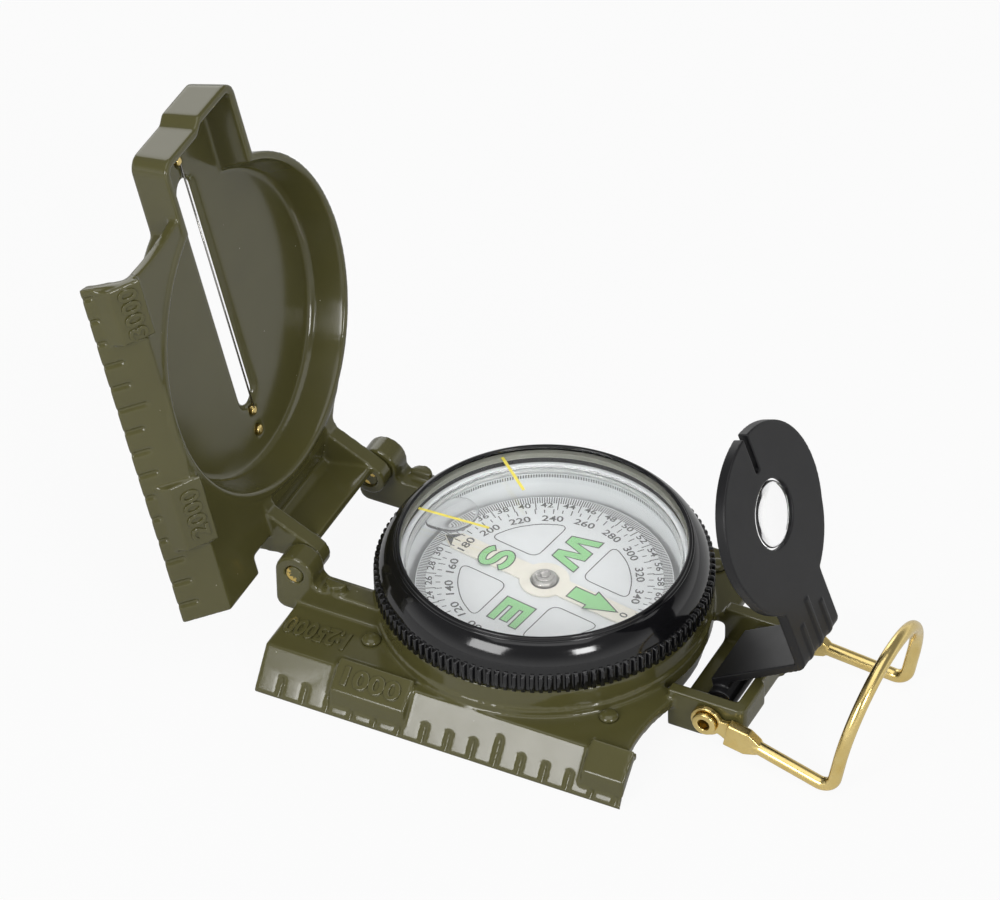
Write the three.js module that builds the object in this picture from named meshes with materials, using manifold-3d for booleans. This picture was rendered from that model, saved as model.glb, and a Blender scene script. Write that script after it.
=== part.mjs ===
// Folding lensatic compass, standing open for sighting.
// Millimetres. +Y is the sighting direction, +X the right hand, +Z up.
// The origin is on the dial axis, in the flat underside of the base.
import * as THREE from 'three';
import { mergeVertices } from 'three/addons/utils/BufferGeometryUtils.js';
import Module from 'manifold-3d';

const wasm = await Module();
wasm.setup();

// Hinge, eyepiece axle and rest angles
const hingeY = 34.3; // dial axis to cover hinge
const hingeHeight = 11.65; // hinge above the map face, half of the closed height
const axleY = -32.5; // dial axis to the axle of eyepiece and thumb loop
const axleHeight = 4.95;
const coverOpenDeg = 103.8; // cover raised from closed
const eyepieceRaisedDeg = 70; // eyepiece raised from lying on the bezel
const loopDropDeg = 11; // thumb loop below level, resting on the table
const cardRestDeg = -98.8; // north end of the needle, from +X

// Fits
const seatGap = 0.3; // between pieces that touch or run on each other
const thinGap = 0.2; // round the sight wire and other fine pieces
const blend = 1; // how far cast features sink into each other

// Straight-edge flange, alike on base and cover
const rulerX = 30.3; // dial axis to the straight edge
const crestX = 26; // dial axis to the top of the slanted face
const deckHeight = 6.4;
const castWall = 1.6;
const edgeBlunt = 0.5;
const rulerLength = 61;
const rulerGap = 0.4; // each straight edge stops short of the hinge line
const scallop = 2.6; // hollow of the flange end next to the bracket or box
const notchPitch = 4; // 100 m at 1:25000
const notchCount = Math.floor(rulerLength / notchPitch);
const notchRadius = 0.5;
const notchFoot = 0.1; // lower centre of a notch above the straight edge
const notchLength = 3.2; // up the slanted face
const notchLong = 4.8; // each fifth one, for 500 m
const notchStep = 5;
const padInset = 1.7; // how far a pad reaches over the deck
const padProud = 0.3;
const padSlope = 2.7; // fall of a pad's top towards the straight edge
const padOverhang = 3.3; // how far a pad stands out from the crest
const padFoot = 1.7; // height of a pad's lower edge
const basePads = [[12.2, 24.7], [rulerLength - 7, rulerLength]]; // from the hinge end of the ruler
const coverPads = [[13, 24.6], [rulerLength - 10.5, rulerLength - 0.8]];

// Base casting, its turned steps set off from the bowl
const bowlRadius = 24.4;
const wellRadius = bowlRadius - 2.3;
const wellFloor = 1.6;
const plinthRadius = bowlRadius + 1.2;
const plinthHeight = 1.2;
const wallRadius = bowlRadius + 0.8;
const wallTop = 11;
const neckRadius = bowlRadius - 1.1; // the bezel's lip runs round this neck
const neckHeight = 1.6;
const collarRadius = bowlRadius - 0.5; // the collar keeps the bezel on
const collarHeight = 1.2;
const rivetBearingDeg = 46.5; // from +X, the same in each corner
const rivetHeadRadius = 1.5;
const rivetHeadHeight = 0.9;
const rivetShankRadius = 0.8;
const rivetLobe = 4.2;
const deckFront = -26.6;
const armOuterX = 15.8;
const armWidth = 4;
const armBottom = 4.5;
const armTop = 10.05;
const earRadius = 3.2;
const earCorner = 1.6;
const nubY = 27.9;
const nubRadius = 1.85;
const nubHeight = 1.4;
const bracketHalf = 11;
const bracketWall = 2;
const bracketEnd = -38.2;
const bracketTop = 7.8;
const bracketBottom = 3.4;
const cheekBottom = 0.8; // bracket sides run deeper next to the bowl
const bracketCorner = 1.2;
const bracketLobe = 2.7; // end of the deep cheek in front of the axle
const ledgeReach = 4; // floor ledge standing out from the bowl
const ledgeThickness = 1;
const thumbNotchHalf = 3.3;
const thumbNotchDepth = 0.6;

// Cover casting, measured from the hinge line and from its map face
const dishRadius = bowlRadius + 2;
const dishDraft = 1.4; // how much the dish narrows towards its floor
const dishWall = 1.2;
const dishDepth = 6.65;
const coverFloor = 1.1;
const boxHalf = 11;
const boxEnd = 70.5;
const boxDraft = 0.7; // box sides lean in towards the map face
const boxWall = 1.4;
const boxCorner = 2.4;
const stepHalf = 0.8;
const stepProud = 1.2; // right half of the box end stands out
const slotHalf = 2;
const slotStart = 19.6;
const slotEnd = 60.2;
const slotBevel = 1;
const slotLand = 0.4; // straight part of the slot's side, next to the map face
const wireRadius = 0.15;
const upperAnchor = 63.8;
const lowerAnchor = 18.2;
const anchorRadius = 0.7;
const anchorDepth = 0.7;
const dotBack = 3.6; // brass dot behind the wire's lower anchor
const dotRadius = 0.8;
const lugWidth = 2.7;
const lugRadius = 2.7;
const lugRoot = 9.5;
const earNotch = 3.6;
const lipFront = 0.8;
const lipThickness = 1.6;
const lipCrest = 12.7;
const troughFloor = 2.6;
const pinRadius = 1.2;

// Bezel, turning on the base's collar
const knurlRadius = wallRadius + 0.5;
const knurlHeight = 3.05;
const toothCount = 120;
const toothDepth = 0.55;
const shoulderRadius = knurlRadius - 0.7;
const rimRadius = wellRadius - 0.45;
const rimWidth = 0.7;
const rimTop = 19.05;
const rimLip = 0.4;
const crystalThickness = 1;
const crystalBorder = 0.8; // crystal under the rim
const retainerHeight = 0.9;
const retainerWidth = 0.9;

// Liquid capsule, card and needle
const capsuleTop = 15.4;
const capsuleWall = 0.7;
const capsuleFloor = 1;
const windowThickness = 1;
const windowLedge = 0.5;
const gasketRadius = 0.25;
const cardGap = 1.1; // card to the capsule's wall
const cardHeight = 9.45; // underside of the card
const cardThickness = 0.4;
const needleThickness = 0.25;
const needleInset = 1.1; // needle's ends inside the card's edge
const needleHalfWidth = 1.8;
const hubRadius = 3.8;
const cupRadius = 2;
const cupRise = 1.3; // cup above the needle
const postRadius = 1.1;

// Eyepiece
const plateThickness = 1.75;
const plateOffset = 16.4; // axle to the rear face of the plate
const discCentre = 29.4; // axle to the lens, along the plate
const discRadius = 13.9;
const chinRadius = 13; // disc drawn out towards the axle
const chinOffset = 2.5;
const lensRadius = 5;
const lensCrown = 0.75;
const lensEdge = 0.8;
const lensFlare = 1.3; // lens hole opens out towards the dial
const armHalf = 6;
const armThickness = 1.3;
const armLeanDeg = 10.5; // arm out of square to the plate
const armToe = 1; // arm past the axle
const barrelRadius = 2.2;
const barrelHalf = 7.4;
const footFillet = 3;
const footBend = 1.6; // round corner from arm to plate
const neckLength = 9; // straight sides of the plate below the disc
const sightSlotWidth = 1.2;
const sightSlotStart = 7.6;
const ribPitch = 3.2;
const ribWidth = 0.9;
const ribProud = 0.25;
const ribLengths = [6, 8.7, 6];
const axleRadius = 0.65;

// Thumb loop and its eyelets
const loopWire = 1.05; // wire radius
const loopHalf = 13.2;
const loopReach = 21.6;
const loopBend = 2.2;
const loopLeg = 5.8;
const eyeRadius = 2.2;
const eyeThickness = 0.9;
const paddleStart = 3.6;
const paddleEnd = 9;
const paddleHalf = 1.9;
const paddleThickness = 1.7;
const eyeletBarrel = 1.3;
const eyeletBore = 0.95;
const eyeletHead = 1.8;
const eyeletHeadThickness = 0.5;

// Facets
const fineRound = 64;
const midRound = 32;
const smallRound = 16;

// Colours of the finishes
const olive = { color: 0x57563a, roughness: 0.38, metalness: 0.25 };
const blackPlastic = { color: 0x1d1d20, roughness: 0.3, metalness: 0 };
const brass = { color: 0xd9b45a, roughness: 0.25, metalness: 1 };
const steel = { color: 0xb9bcc0, roughness: 0.3, metalness: 1 };
const clearPlastic = { color: 0xeef3f5, roughness: 0.05, metalness: 0, transparent: true, opacity: 0.3 };
const whitePlastic = { color: 0xe6e8e6, roughness: 0.5, metalness: 0 };
const cream = { color: 0xefe6d6, roughness: 0.6, metalness: 0 };
const rubber = { color: 0x2a2a2a, roughness: 0.8, metalness: 0 };

// A closed triangle mesh with shared corners, outward faces and no slivers on an axis
function weld(geometry) {
  const bare = new THREE.BufferGeometry();
  bare.setAttribute('position', geometry.getAttribute('position').clone());
  if (geometry.index) bare.setIndex(geometry.index.clone());
  const merged = mergeVertices(bare, 1e-4);
  const place = merged.getAttribute('position');
  const corners = [];
  for (let i = 0; i < merged.index.count; i += 3) {
    const [a, b, c] = [0, 1, 2].map((k) => merged.index.getX(i + k));
    if (a !== b && b !== c && c !== a) corners.push(a, b, c);
  }
  let volume = 0;
  const [p, q, r] = [new THREE.Vector3(), new THREE.Vector3(), new THREE.Vector3()];
  for (let i = 0; i < corners.length; i += 3) {
    p.fromBufferAttribute(place, corners[i]);
    q.fromBufferAttribute(place, corners[i + 1]);
    r.fromBufferAttribute(place, corners[i + 2]);
    volume += p.dot(q.cross(r));
  }
  if (volume < 0) corners.reverse();
  merged.setIndex(corners);
  return merged;
}

function solid(geometry) {
  const welded = weld(geometry);
  return new wasm.Manifold(new wasm.Mesh({
    numProp: 3,
    vertProperties: new Float32Array(welded.getAttribute('position').array),
    triVerts: new Uint32Array(welded.index.array),
  }));
}

function surface(manifold) {
  const mesh = manifold.getMesh();
  const geometry = new THREE.BufferGeometry();
  geometry.setAttribute('position', new THREE.BufferAttribute(new Float32Array(mesh.vertProperties), 3));
  geometry.setIndex(new THREE.BufferAttribute(new Uint32Array(mesh.triVerts), 1));
  return geometry;
}

function join(...geometries) {
  return surface(geometries.map(solid).reduce((sum, next) => sum.add(next)));
}

function cut(geometry, ...tools) {
  return surface(tools.map(solid).reduce((sum, next) => sum.subtract(next), solid(geometry)));
}

function common(geometry, other) {
  return surface(solid(geometry).intersect(solid(other)));
}

// Prisms along each axis: the outline is drawn in XY, YZ or XZ
function alongZ(shape, low, high, curveSegments = smallRound) {
  const prism = new THREE.ExtrudeGeometry(shape, { depth: high - low, bevelEnabled: false, curveSegments });
  return prism.translate(0, 0, low);
}

function alongX(shape, low, high, curveSegments = smallRound) {
  const prism = new THREE.ExtrudeGeometry(shape, { depth: high - low, bevelEnabled: false, curveSegments });
  const turn = new THREE.Matrix4().makeBasis(
    new THREE.Vector3(0, 1, 0), new THREE.Vector3(0, 0, 1), new THREE.Vector3(1, 0, 0));
  return prism.applyMatrix4(turn).translate(low, 0, 0);
}

function alongY(shape, low, high) {
  const prism = new THREE.ExtrudeGeometry(shape, { depth: high - low, bevelEnabled: false });
  return prism.rotateX(Math.PI / 2).translate(0, high, 0);
}

function outline(points) {
  return new THREE.Shape(points.map(([u, v]) => new THREE.Vector2(u, v)));
}

function block(x0, x1, y0, y1, z0, z1) {
  const box = new THREE.BoxGeometry(x1 - x0, y1 - y0, z1 - z0);
  return box.translate((x0 + x1) / 2, (y0 + y1) / 2, (z0 + z1) / 2);
}

// Turned pieces: profile points are radius and height, the axis is Z or X
function turned(profile, segments = midRound) {
  const points = profile.map(([r, h]) => new THREE.Vector2(r, h));
  return new THREE.LatheGeometry(points, segments).rotateX(Math.PI / 2);
}

function turnedX(profile, segments = smallRound) {
  return turned(profile, segments).rotateY(Math.PI / 2);
}

function ring(inner, outer, low, high, segments = midRound) {
  return turned([[inner, low], [outer, low], [outer, high], [inner, high], [inner, low]], segments);
}

function rod(radius, low, high, segments = smallRound) {
  return turned([[0, low], [radius, low], [radius, high], [0, high]], segments);
}

function rodX(radius, low, high, segments = smallRound) {
  return rod(radius, low, high, segments).rotateY(Math.PI / 2);
}

const radians = THREE.MathUtils.degToRad;
const mirrored = (geometry) => geometry.clone().scale(-1, 1, 1);

// Straight-edge flange: a slanted shell wall under a flat deck, cut to a plan outline.
// Its length runs from the hinge end (start) in the given direction along Y.
const slantRun = rulerX - crestX;
const slantRise = deckHeight - edgeBlunt;

function flangeShell(plan, low, high) {
  const section = outline([
    [-rulerX, 0], [-rulerX, edgeBlunt], [-crestX, deckHeight], [rulerX, deckHeight],
    [rulerX, deckHeight - castWall], [-crestX + castWall / 2, deckHeight - castWall],
    [-rulerX + castWall * 1.2, 0],
  ]);
  return common(alongY(section, low, high), alongZ(plan, -blend, deckHeight + blend));
}

function flangePads(spans, hingeEnd, direction) {
  const section = outline([
    [-crestX + padInset, deckHeight - blend], [-crestX + padInset, deckHeight + padProud],
    [-crestX - padOverhang, deckHeight - padSlope],
    [-rulerX + slantRun * (padFoot - edgeBlunt) / slantRise, padFoot],
    [-crestX, deckHeight - castWall / 2],
  ]);
  return spans.map(([near, far]) => {
    const ends = [hingeEnd + direction * near, hingeEnd + direction * far];
    return alongY(section, Math.min(...ends), Math.max(...ends));
  });
}

// Grooves up a slanted face, one for each step of the scale
function scaleNotches(scaleEnd, direction) {
  const slant = Math.atan2(slantRise, slantRun);
  const notches = [];
  for (let i = 1; i <= notchCount; i += 1) {
    const top = (i % notchStep === 0 ? notchLong : notchLength) - notchRadius;
    const middle = (notchFoot + top) / 2;
    const groove = new THREE.CapsuleGeometry(notchRadius, top - notchFoot, 2, 6);
    groove.rotateX(Math.PI / 2).rotateY(Math.PI / 2 - slant);
    notches.push(groove.translate(-rulerX + middle * Math.cos(slant), scaleEnd + direction * i * notchPitch,
      edgeBlunt + middle * Math.sin(slant)));
  }
  return notches;
}

// Base casting
const rivetReach = plinthRadius + rivetHeadRadius + thinGap;
const rivetX = rivetReach * Math.cos(radians(rivetBearingDeg));
const rivetY = rivetReach * Math.sin(radians(rivetBearingDeg));
const armInnerX = armOuterX - armWidth;
const baseRulerRear = hingeY - rulerGap;
const baseRulerFront = baseRulerRear - rulerLength;
const cavityHalf = bracketHalf - bracketWall;
const cavityEnd = bracketEnd + bracketWall;

function baseDeckPlan() {
  const plan = new THREE.Shape();
  plan.moveTo(-rulerX, baseRulerRear);
  plan.lineTo(-rulerX, baseRulerFront);
  plan.quadraticCurveTo((-rulerX - bracketHalf) / 2, deckFront + scallop, -bracketHalf - blend, deckFront);
  plan.lineTo(rivetX - rivetLobe / 2, deckFront);
  plan.absarc(rivetX, -rivetY, rivetLobe, radians(-75), radians(-15), false);
  plan.absarc(0, 0, plinthRadius, radians(-28), radians(28), false);
  plan.absarc(rivetX, rivetY, rivetLobe, radians(15), radians(120), false);
  plan.lineTo(-armInnerX, rivetY);
  plan.lineTo(-armInnerX, baseRulerRear);
  return plan;
}

function bowl() {
  const collarBase = wallTop + neckHeight;
  return turned([
    [0, 0], [bowlRadius - blend, 0], [bowlRadius, blend], [bowlRadius, deckHeight - castWall],
    [plinthRadius, deckHeight - castWall], [plinthRadius, deckHeight + plinthHeight],
    [wallRadius, deckHeight + plinthHeight], [wallRadius, wallTop], [neckRadius, wallTop],
    [neckRadius, collarBase], [collarRadius, collarBase], [collarRadius, collarBase + collarHeight],
    [wellRadius, collarBase + collarHeight], [wellRadius, wellFloor], [0, wellFloor],
  ], fineRound);
}

// One hinge prong: a bar with an upright rounded ear round the hinge axis
function hingeProng() {
  const rear = hingeY + earRadius;
  const side = new THREE.Shape();
  side.moveTo(rivetY, armBottom);
  side.lineTo(rear - earCorner, armBottom);
  side.absarc(rear - earCorner, armBottom + earCorner, earCorner, -Math.PI / 2, 0, false);
  side.absarc(hingeY, hingeHeight, earRadius, 0, Math.PI, false);
  side.lineTo(hingeY - earRadius, armTop + earCorner / 2);
  side.lineTo(hingeY - earRadius - earCorner / 2, armTop);
  side.lineTo(rivetY, armTop);
  return alongX(side, armInnerX, armOuterX, smallRound);
}

function prongNub() {
  const half = new THREE.Shape();
  half.absarc((armInnerX + armOuterX) / 2, nubY, nubRadius, -Math.PI / 2, Math.PI / 2, false);
  return alongZ(half, armTop - blend, armTop + nubHeight, smallRound);
}

function bracketPlan() {
  const plan = new THREE.Shape();
  plan.moveTo(bracketHalf, deckFront + blend);
  plan.lineTo(-bracketHalf, deckFront + blend);
  plan.absarc(-bracketHalf + bracketCorner, bracketEnd + bracketCorner, bracketCorner,
    Math.PI, Math.PI * 1.5, false);
  plan.absarc(bracketHalf - bracketCorner, bracketEnd + bracketCorner, bracketCorner,
    Math.PI * 1.5, Math.PI * 2, false);
  return plan;
}

function bracketCheeks() {
  const side = outline([
    [-bowlRadius + blend, cheekBottom], [-bowlRadius + blend, bracketTop], [bracketEnd, bracketTop],
    [bracketEnd, bracketBottom], [axleY - bracketLobe, bracketBottom],
    [axleY - bracketLobe / 2, (cheekBottom + bracketBottom) / 2], [axleY + bracketLobe / 2, cheekBottom],
  ]);
  return alongX(side, -bracketHalf, bracketHalf);
}

function baseBody() {
  const front = Math.min(baseRulerFront, deckFront);
  const flange = cut(flangeShell(baseDeckPlan(), front, baseRulerRear), ...scaleNotches(baseRulerRear, -1));
  const deck = join(flange, ...flangePads(basePads, baseRulerRear, -1),
    common(alongZ(bracketPlan(), 0, bracketTop, smallRound / 2), bracketCheeks()));
  const shell = cut(deck,
    block(-cavityHalf, cavityHalf, cavityEnd, deckFront - ledgeReach, 0, bracketTop + blend),
    block(-cavityHalf, cavityHalf, deckFront - ledgeReach - blend, -bowlRadius + blend,
      cheekBottom + ledgeThickness, bracketTop + blend),
    block(-thumbNotchHalf, thumbNotchHalf, bracketEnd - blend, bracketEnd + thumbNotchDepth,
      0, bracketTop + blend));
  const prong = hingeProng();
  const nub = prongNub();
  const whole = join(shell, bowl(), prong, mirrored(prong), nub, mirrored(nub));
  const shanks = rivetPlaces().map(([x, y]) =>
    rod(rivetShankRadius + thinGap, 0, deckHeight + plinthHeight + blend).translate(x, y, 0));
  return cut(whole, ...shanks,
    rod(wellRadius, wellFloor, wallTop, fineRound),
    rodX(pinRadius + seatGap, -armOuterX - blend, armOuterX + blend).translate(0, hingeY, hingeHeight),
    rodX(eyeletBarrel + seatGap, -bracketHalf - blend, bracketHalf + blend).translate(0, axleY, axleHeight));
}

function rivetPlaces() {
  return [[-rivetX, rivetY], [-rivetX, -rivetY], [rivetX, -rivetY], [rivetX, rivetY]];
}

function deckRivet() {
  const seat = deckHeight + thinGap;
  return turned([
    [0, deckHeight - castWall], [rivetShankRadius, deckHeight - castWall], [rivetShankRadius, seat],
    [rivetHeadRadius, seat], [rivetHeadRadius * 0.8, seat + rivetHeadHeight * 0.7],
    [rivetHeadRadius * 0.4, seat + rivetHeadHeight], [0, seat + rivetHeadHeight],
  ], smallRound);
}

// Cover casting, drawn lying open on its map face with the hinge axis at the origin of Y and Z
const dishCentre = hingeY; // the dish lies over the dial when closed
const lugOuterX = armInnerX - seatGap;
const lugInnerX = lugOuterX - lugWidth;

function coverDeckPlan() {
  const plan = new THREE.Shape();
  const rootX = armOuterX + blend;
  plan.moveTo(-rulerX, rulerGap);
  plan.lineTo(-rootX, rulerGap);
  plan.lineTo(-rootX, earNotch);
  plan.lineTo(-lugInnerX, earNotch);
  plan.lineTo(-lugInnerX, lugRoot);
  plan.lineTo(lugInnerX, lugRoot);
  plan.lineTo(lugInnerX, earNotch);
  plan.lineTo(lugOuterX, earNotch);
  plan.lineTo(lugOuterX, lugRoot - blend);
  plan.lineTo(dishRadius * 0.72, dishCentre - dishRadius * 0.66);
  plan.lineTo(dishRadius * 0.72, dishCentre);
  plan.lineTo(0, dishCentre + dishRadius * 0.9);
  plan.lineTo(-boxHalf + blend, rulerGap + rulerLength);
  plan.quadraticCurveTo((-rulerX - boxHalf) / 2, rulerGap + rulerLength - scallop,
    -rulerX, rulerGap + rulerLength);
  return plan;
}

function dishSolid() {
  return turned([
    [0, 0], [dishRadius - dishDraft, 0], [dishRadius - dishDraft / 2, dishDraft / 2],
    [dishRadius, dishDepth], [0, dishDepth],
  ], fineRound).translate(0, dishCentre, 0);
}

function dishHollow() {
  const rim = dishRadius - dishWall;
  return turned([
    [0, coverFloor], [rim - dishDraft - blend / 2, coverFloor], [rim - dishDraft, coverFloor + blend / 2],
    [rim, dishDepth], [rim, dishDepth + blend], [0, dishDepth + blend],
  ], fineRound).translate(0, dishCentre, 0);
}

// Box past the dish, with a stepped end and sides that lean in towards the map face
function boxBlock(half, end, corner, low, high) {
  const plan = new THREE.Shape();
  plan.moveTo(-half, dishCentre);
  plan.lineTo(half, dishCentre);
  plan.absarc(half - corner, end + stepProud - corner, corner, 0, Math.PI / 2, false);
  plan.lineTo(stepHalf, end + stepProud);
  plan.lineTo(-stepHalf, end);
  plan.absarc(-half + corner, end - corner, corner, Math.PI / 2, Math.PI, false);
  const prism = alongZ(plan, low, high, smallRound / 2);
  const place = prism.getAttribute('position');
  for (let i = 0; i < place.count; i += 1) {
    const lean = boxDraft * (1 - place.getZ(i) / dishDepth);
    place.setX(i, place.getX(i) * (1 - lean / boxHalf));
  }
  return prism;
}

// A lug: round end about the hinge axis, sloping down to the deck
function hingeLug() {
  const side = new THREE.Shape();
  side.moveTo(lipFront, troughFloor);
  side.lineTo(lugRoot, troughFloor);
  side.lineTo(lugRoot, deckHeight);
  side.lineTo(lugRoot - 2 * blend, deckHeight + blend / 2);
  side.absarc(0, hingeHeight, lugRadius, radians(38), radians(270), false);
  return alongX(side, lugInnerX, lugOuterX, smallRound);
}

// Hinge-end lip with the trough behind it, between the lugs
function hingeLip() {
  const back = lipFront + lipThickness;
  const side = outline([
    [lipFront, troughFloor], [lugRoot, deckHeight - castWall], [lugRoot + blend, deckHeight - castWall],
    [lugRoot + blend, deckHeight], [lugRoot, deckHeight], [lugRoot - 3 * blend, deckHeight - blend / 2],
    [back + blend, troughFloor + 2 * blend], [back, troughFloor + 3 * blend], [back, lipCrest],
    [lipFront, lipCrest],
  ]);
  return alongX(side, -lugInnerX - blend, lugInnerX + blend);
}

// Slot for the wire, bevelled towards the inside of the cover
function sightSlot() {
  const plan = new THREE.Shape();
  plan.absarc(0, slotStart + slotHalf, slotHalf, Math.PI, Math.PI * 2, false);
  plan.absarc(0, slotEnd - slotHalf, slotHalf, 0, Math.PI, false);
  const through = alongZ(plan, -blend, coverFloor + blend, smallRound / 2);
  const mouth = slotHalf + slotBevel;
  const section = outline([
    [-slotHalf, slotLand], [slotHalf, slotLand], [mouth, coverFloor], [mouth, coverFloor + blend],
    [-mouth, coverFloor + blend], [-mouth, coverFloor],
  ]);
  const end = turned([
    [0, slotLand], [slotHalf, slotLand], [mouth, coverFloor], [mouth, coverFloor + blend],
    [0, coverFloor + blend],
  ]);
  return join(through, alongY(section, slotStart + slotHalf, slotEnd - slotHalf),
    end.clone().translate(0, slotStart + slotHalf, 0), end.translate(0, slotEnd - slotHalf, 0));
}

const dotPlace = lowerAnchor - dotBack;

function coverShell() {
  const lug = hingeLug();
  const flange = cut(flangeShell(coverDeckPlan(), rulerGap, rulerGap + rulerLength),
    ...scaleNotches(-rulerGap, 1));
  const casting = join(flange, ...flangePads(coverPads, rulerGap, 1), dishSolid(),
    boxBlock(boxHalf, boxEnd, boxCorner, 0, dishDepth), lug, mirrored(lug), hingeLip());
  const boxHollow = boxBlock(boxHalf - boxWall, boxEnd - boxWall, boxCorner - boxWall,
    coverFloor, dishDepth + blend);
  const holes = [upperAnchor, lowerAnchor].map((along) => [anchorRadius, along]);
  holes.push([dotRadius, dotPlace]);
  const sockets = holes.map(([radius, along]) =>
    rod(radius + thinGap, coverFloor - anchorDepth, coverFloor + blend).translate(0, along, 0));
  return cut(casting, dishHollow(), boxHollow, sightSlot(), ...sockets,
    rodX(pinRadius + seatGap, -lugOuterX - blend, lugOuterX + blend).translate(0, 0, hingeHeight),
  ).translate(0, 0, -hingeHeight);
}

// Wire anchor: a small brass stud with a slot-free domed head over the wire's end
function stud(radius, along) {
  const seat = coverFloor + thinGap;
  return turned([
    [0, coverFloor - anchorDepth + thinGap], [radius, coverFloor - anchorDepth + thinGap],
    [radius, seat], [radius * 0.6, seat + thinGap], [0, seat + thinGap],
  ], smallRound).translate(0, along, -hingeHeight);
}

function sightWire() {
  const low = lowerAnchor + anchorRadius + thinGap;
  const high = upperAnchor - anchorRadius - thinGap;
  return rod(wireRadius, 0, high - low, smallRound / 2).rotateX(-Math.PI / 2)
    .translate(0, low, coverFloor + wireRadius + thinGap / 2 - hingeHeight);
}

function hingePin() {
  return rodX(pinRadius, lugInnerX + seatGap, armOuterX).translate(0, hingeY, hingeHeight);
}

// Bezel ring: knurled foot, domed shoulder, rim over the crystal, lip under the base's collar
const bezelBottom = wallTop + thinGap;
const knurlTop = bezelBottom + knurlHeight;
const bezelBore = collarRadius + seatGap;
const crystalRadius = rimRadius + crystalBorder;
const crystalTop = rimTop - rimLip - thinGap;

function bezelRing() {
  const lipTop = wallTop + neckHeight - seatGap;
  const chestTop = wallTop + neckHeight + collarHeight + seatGap;
  const seat = crystalRadius + thinGap;
  const profile = [
    [neckRadius + seatGap, bezelBottom], [shoulderRadius, bezelBottom], [shoulderRadius, knurlTop],
  ];
  const domeTop = rimTop - blend / 2;
  const steps = 7;
  for (let i = 0; i <= steps; i += 1) {
    const angle = (Math.PI / 2) * (i / steps);
    const outer = rimRadius + rimWidth;
    profile.push([outer + (shoulderRadius - outer) * Math.cos(angle) ** 1.2,
      knurlTop + (domeTop - knurlTop) * Math.sin(angle)]);
  }
  profile.push([rimRadius + rimWidth / 2, rimTop], [rimRadius, rimTop], [rimRadius, rimTop - rimLip],
    [seat, rimTop - rimLip], [seat, chestTop], [bezelBore, chestTop], [bezelBore, lipTop],
    [neckRadius + seatGap, lipTop], [neckRadius + seatGap, bezelBottom]);
  return join(turned(profile, fineRound), knurl());
}

function knurl() {
  const plan = new THREE.Shape();
  const root = knurlRadius - toothDepth;
  for (let i = 0; i < toothCount; i += 1) {
    [[0.0, root], [0.14, knurlRadius], [0.56, knurlRadius], [0.7, root]].forEach(([part, radius], k) => {
      const angle = 2 * Math.PI * (i + part) / toothCount;
      const step = k === 0 && i === 0 ? 'moveTo' : 'lineTo';
      plan[step](radius * Math.cos(angle), radius * Math.sin(angle));
    });
  }
  const bore = new THREE.Path();
  bore.absarc(0, 0, shoulderRadius - blend / 2, 0, 2 * Math.PI, true);
  plan.holes.push(bore);
  return alongZ(plan, bezelBottom, knurlTop, fineRound / 2);
}

function bezelCrystal() {
  return rod(crystalRadius, crystalTop - crystalThickness, crystalTop, fineRound);
}

function bezelRetainer() {
  const top = crystalTop - crystalThickness - thinGap;
  return ring(crystalRadius - retainerWidth, crystalRadius, top - retainerHeight, top, fineRound);
}

// Capsule, pivot, card and needle
const capsuleRadius = wellRadius - seatGap;
const capsuleBottom = wellFloor + thinGap;
const capsuleBore = capsuleRadius - capsuleWall;
const windowBottom = capsuleTop - windowThickness;
const cardRadius = capsuleBore - windowLedge - cardGap;
const needleHalfLength = cardRadius - needleInset;
const postTop = cardHeight + cardThickness + needleThickness;

function capsuleBowl() {
  const ledge = windowBottom - 2 * gasketRadius - 2 * thinGap;
  return turned([
    [0, capsuleBottom], [capsuleRadius, capsuleBottom], [capsuleRadius, capsuleTop],
    [capsuleBore, capsuleTop], [capsuleBore, ledge], [capsuleBore - windowLedge, ledge],
    [capsuleBore - windowLedge, capsuleBottom + capsuleFloor], [0, capsuleBottom + capsuleFloor],
  ], fineRound);
}

function capsuleWindow() {
  return rod(capsuleBore - thinGap, windowBottom, capsuleTop, fineRound);
}

function capsuleGasket() {
  const middle = capsuleBore - windowLedge / 2 - thinGap / 2;
  return new THREE.TorusGeometry(middle, gasketRadius, 6, fineRound)
    .translate(0, 0, windowBottom - thinGap - gasketRadius);
}

function pivotPost() {
  const foot = capsuleBottom + capsuleFloor + thinGap;
  return turned([
    [0, foot], [2 * postRadius, foot], [2 * postRadius, foot + blend], [postRadius, foot + 2 * blend],
    [postRadius, postTop - 3 * blend], [0, postTop],
  ], smallRound);
}

function compassCard() {
  return ring(cupRadius + seatGap, cardRadius, cardHeight, cardHeight + cardThickness, fineRound);
}

function magnetNeedle() {
  const plan = new THREE.Shape();
  const spread = Math.asin(needleHalfWidth / hubRadius);
  plan.moveTo(needleHalfLength, -needleHalfWidth);
  plan.lineTo(needleHalfLength, needleHalfWidth);
  plan.absarc(0, 0, hubRadius, spread, Math.PI - spread, false);
  plan.lineTo(-needleHalfLength + 2 * needleHalfWidth, needleHalfWidth);
  plan.lineTo(-needleHalfLength, 0);
  plan.lineTo(-needleHalfLength + 2 * needleHalfWidth, -needleHalfWidth);
  plan.absarc(0, 0, hubRadius, Math.PI + spread, 2 * Math.PI - spread, false);
  const eye = new THREE.Path();
  eye.absarc(0, 0, cupRadius + thinGap, 0, 2 * Math.PI, true);
  plan.holes.push(eye);
  const low = cardHeight + cardThickness + thinGap / 2;
  return alongZ(plan, low, low + needleThickness, smallRound);
}

function jewelCup() {
  const low = cardHeight;
  const top = cardHeight + cardThickness + needleThickness + cupRise;
  return turned([
    [0, postTop + seatGap], [postRadius + thinGap, low], [cupRadius, low], [cupRadius, top - blend / 2],
    [cupRadius * 0.7, top], [0, top],
  ], smallRound);
}

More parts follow.
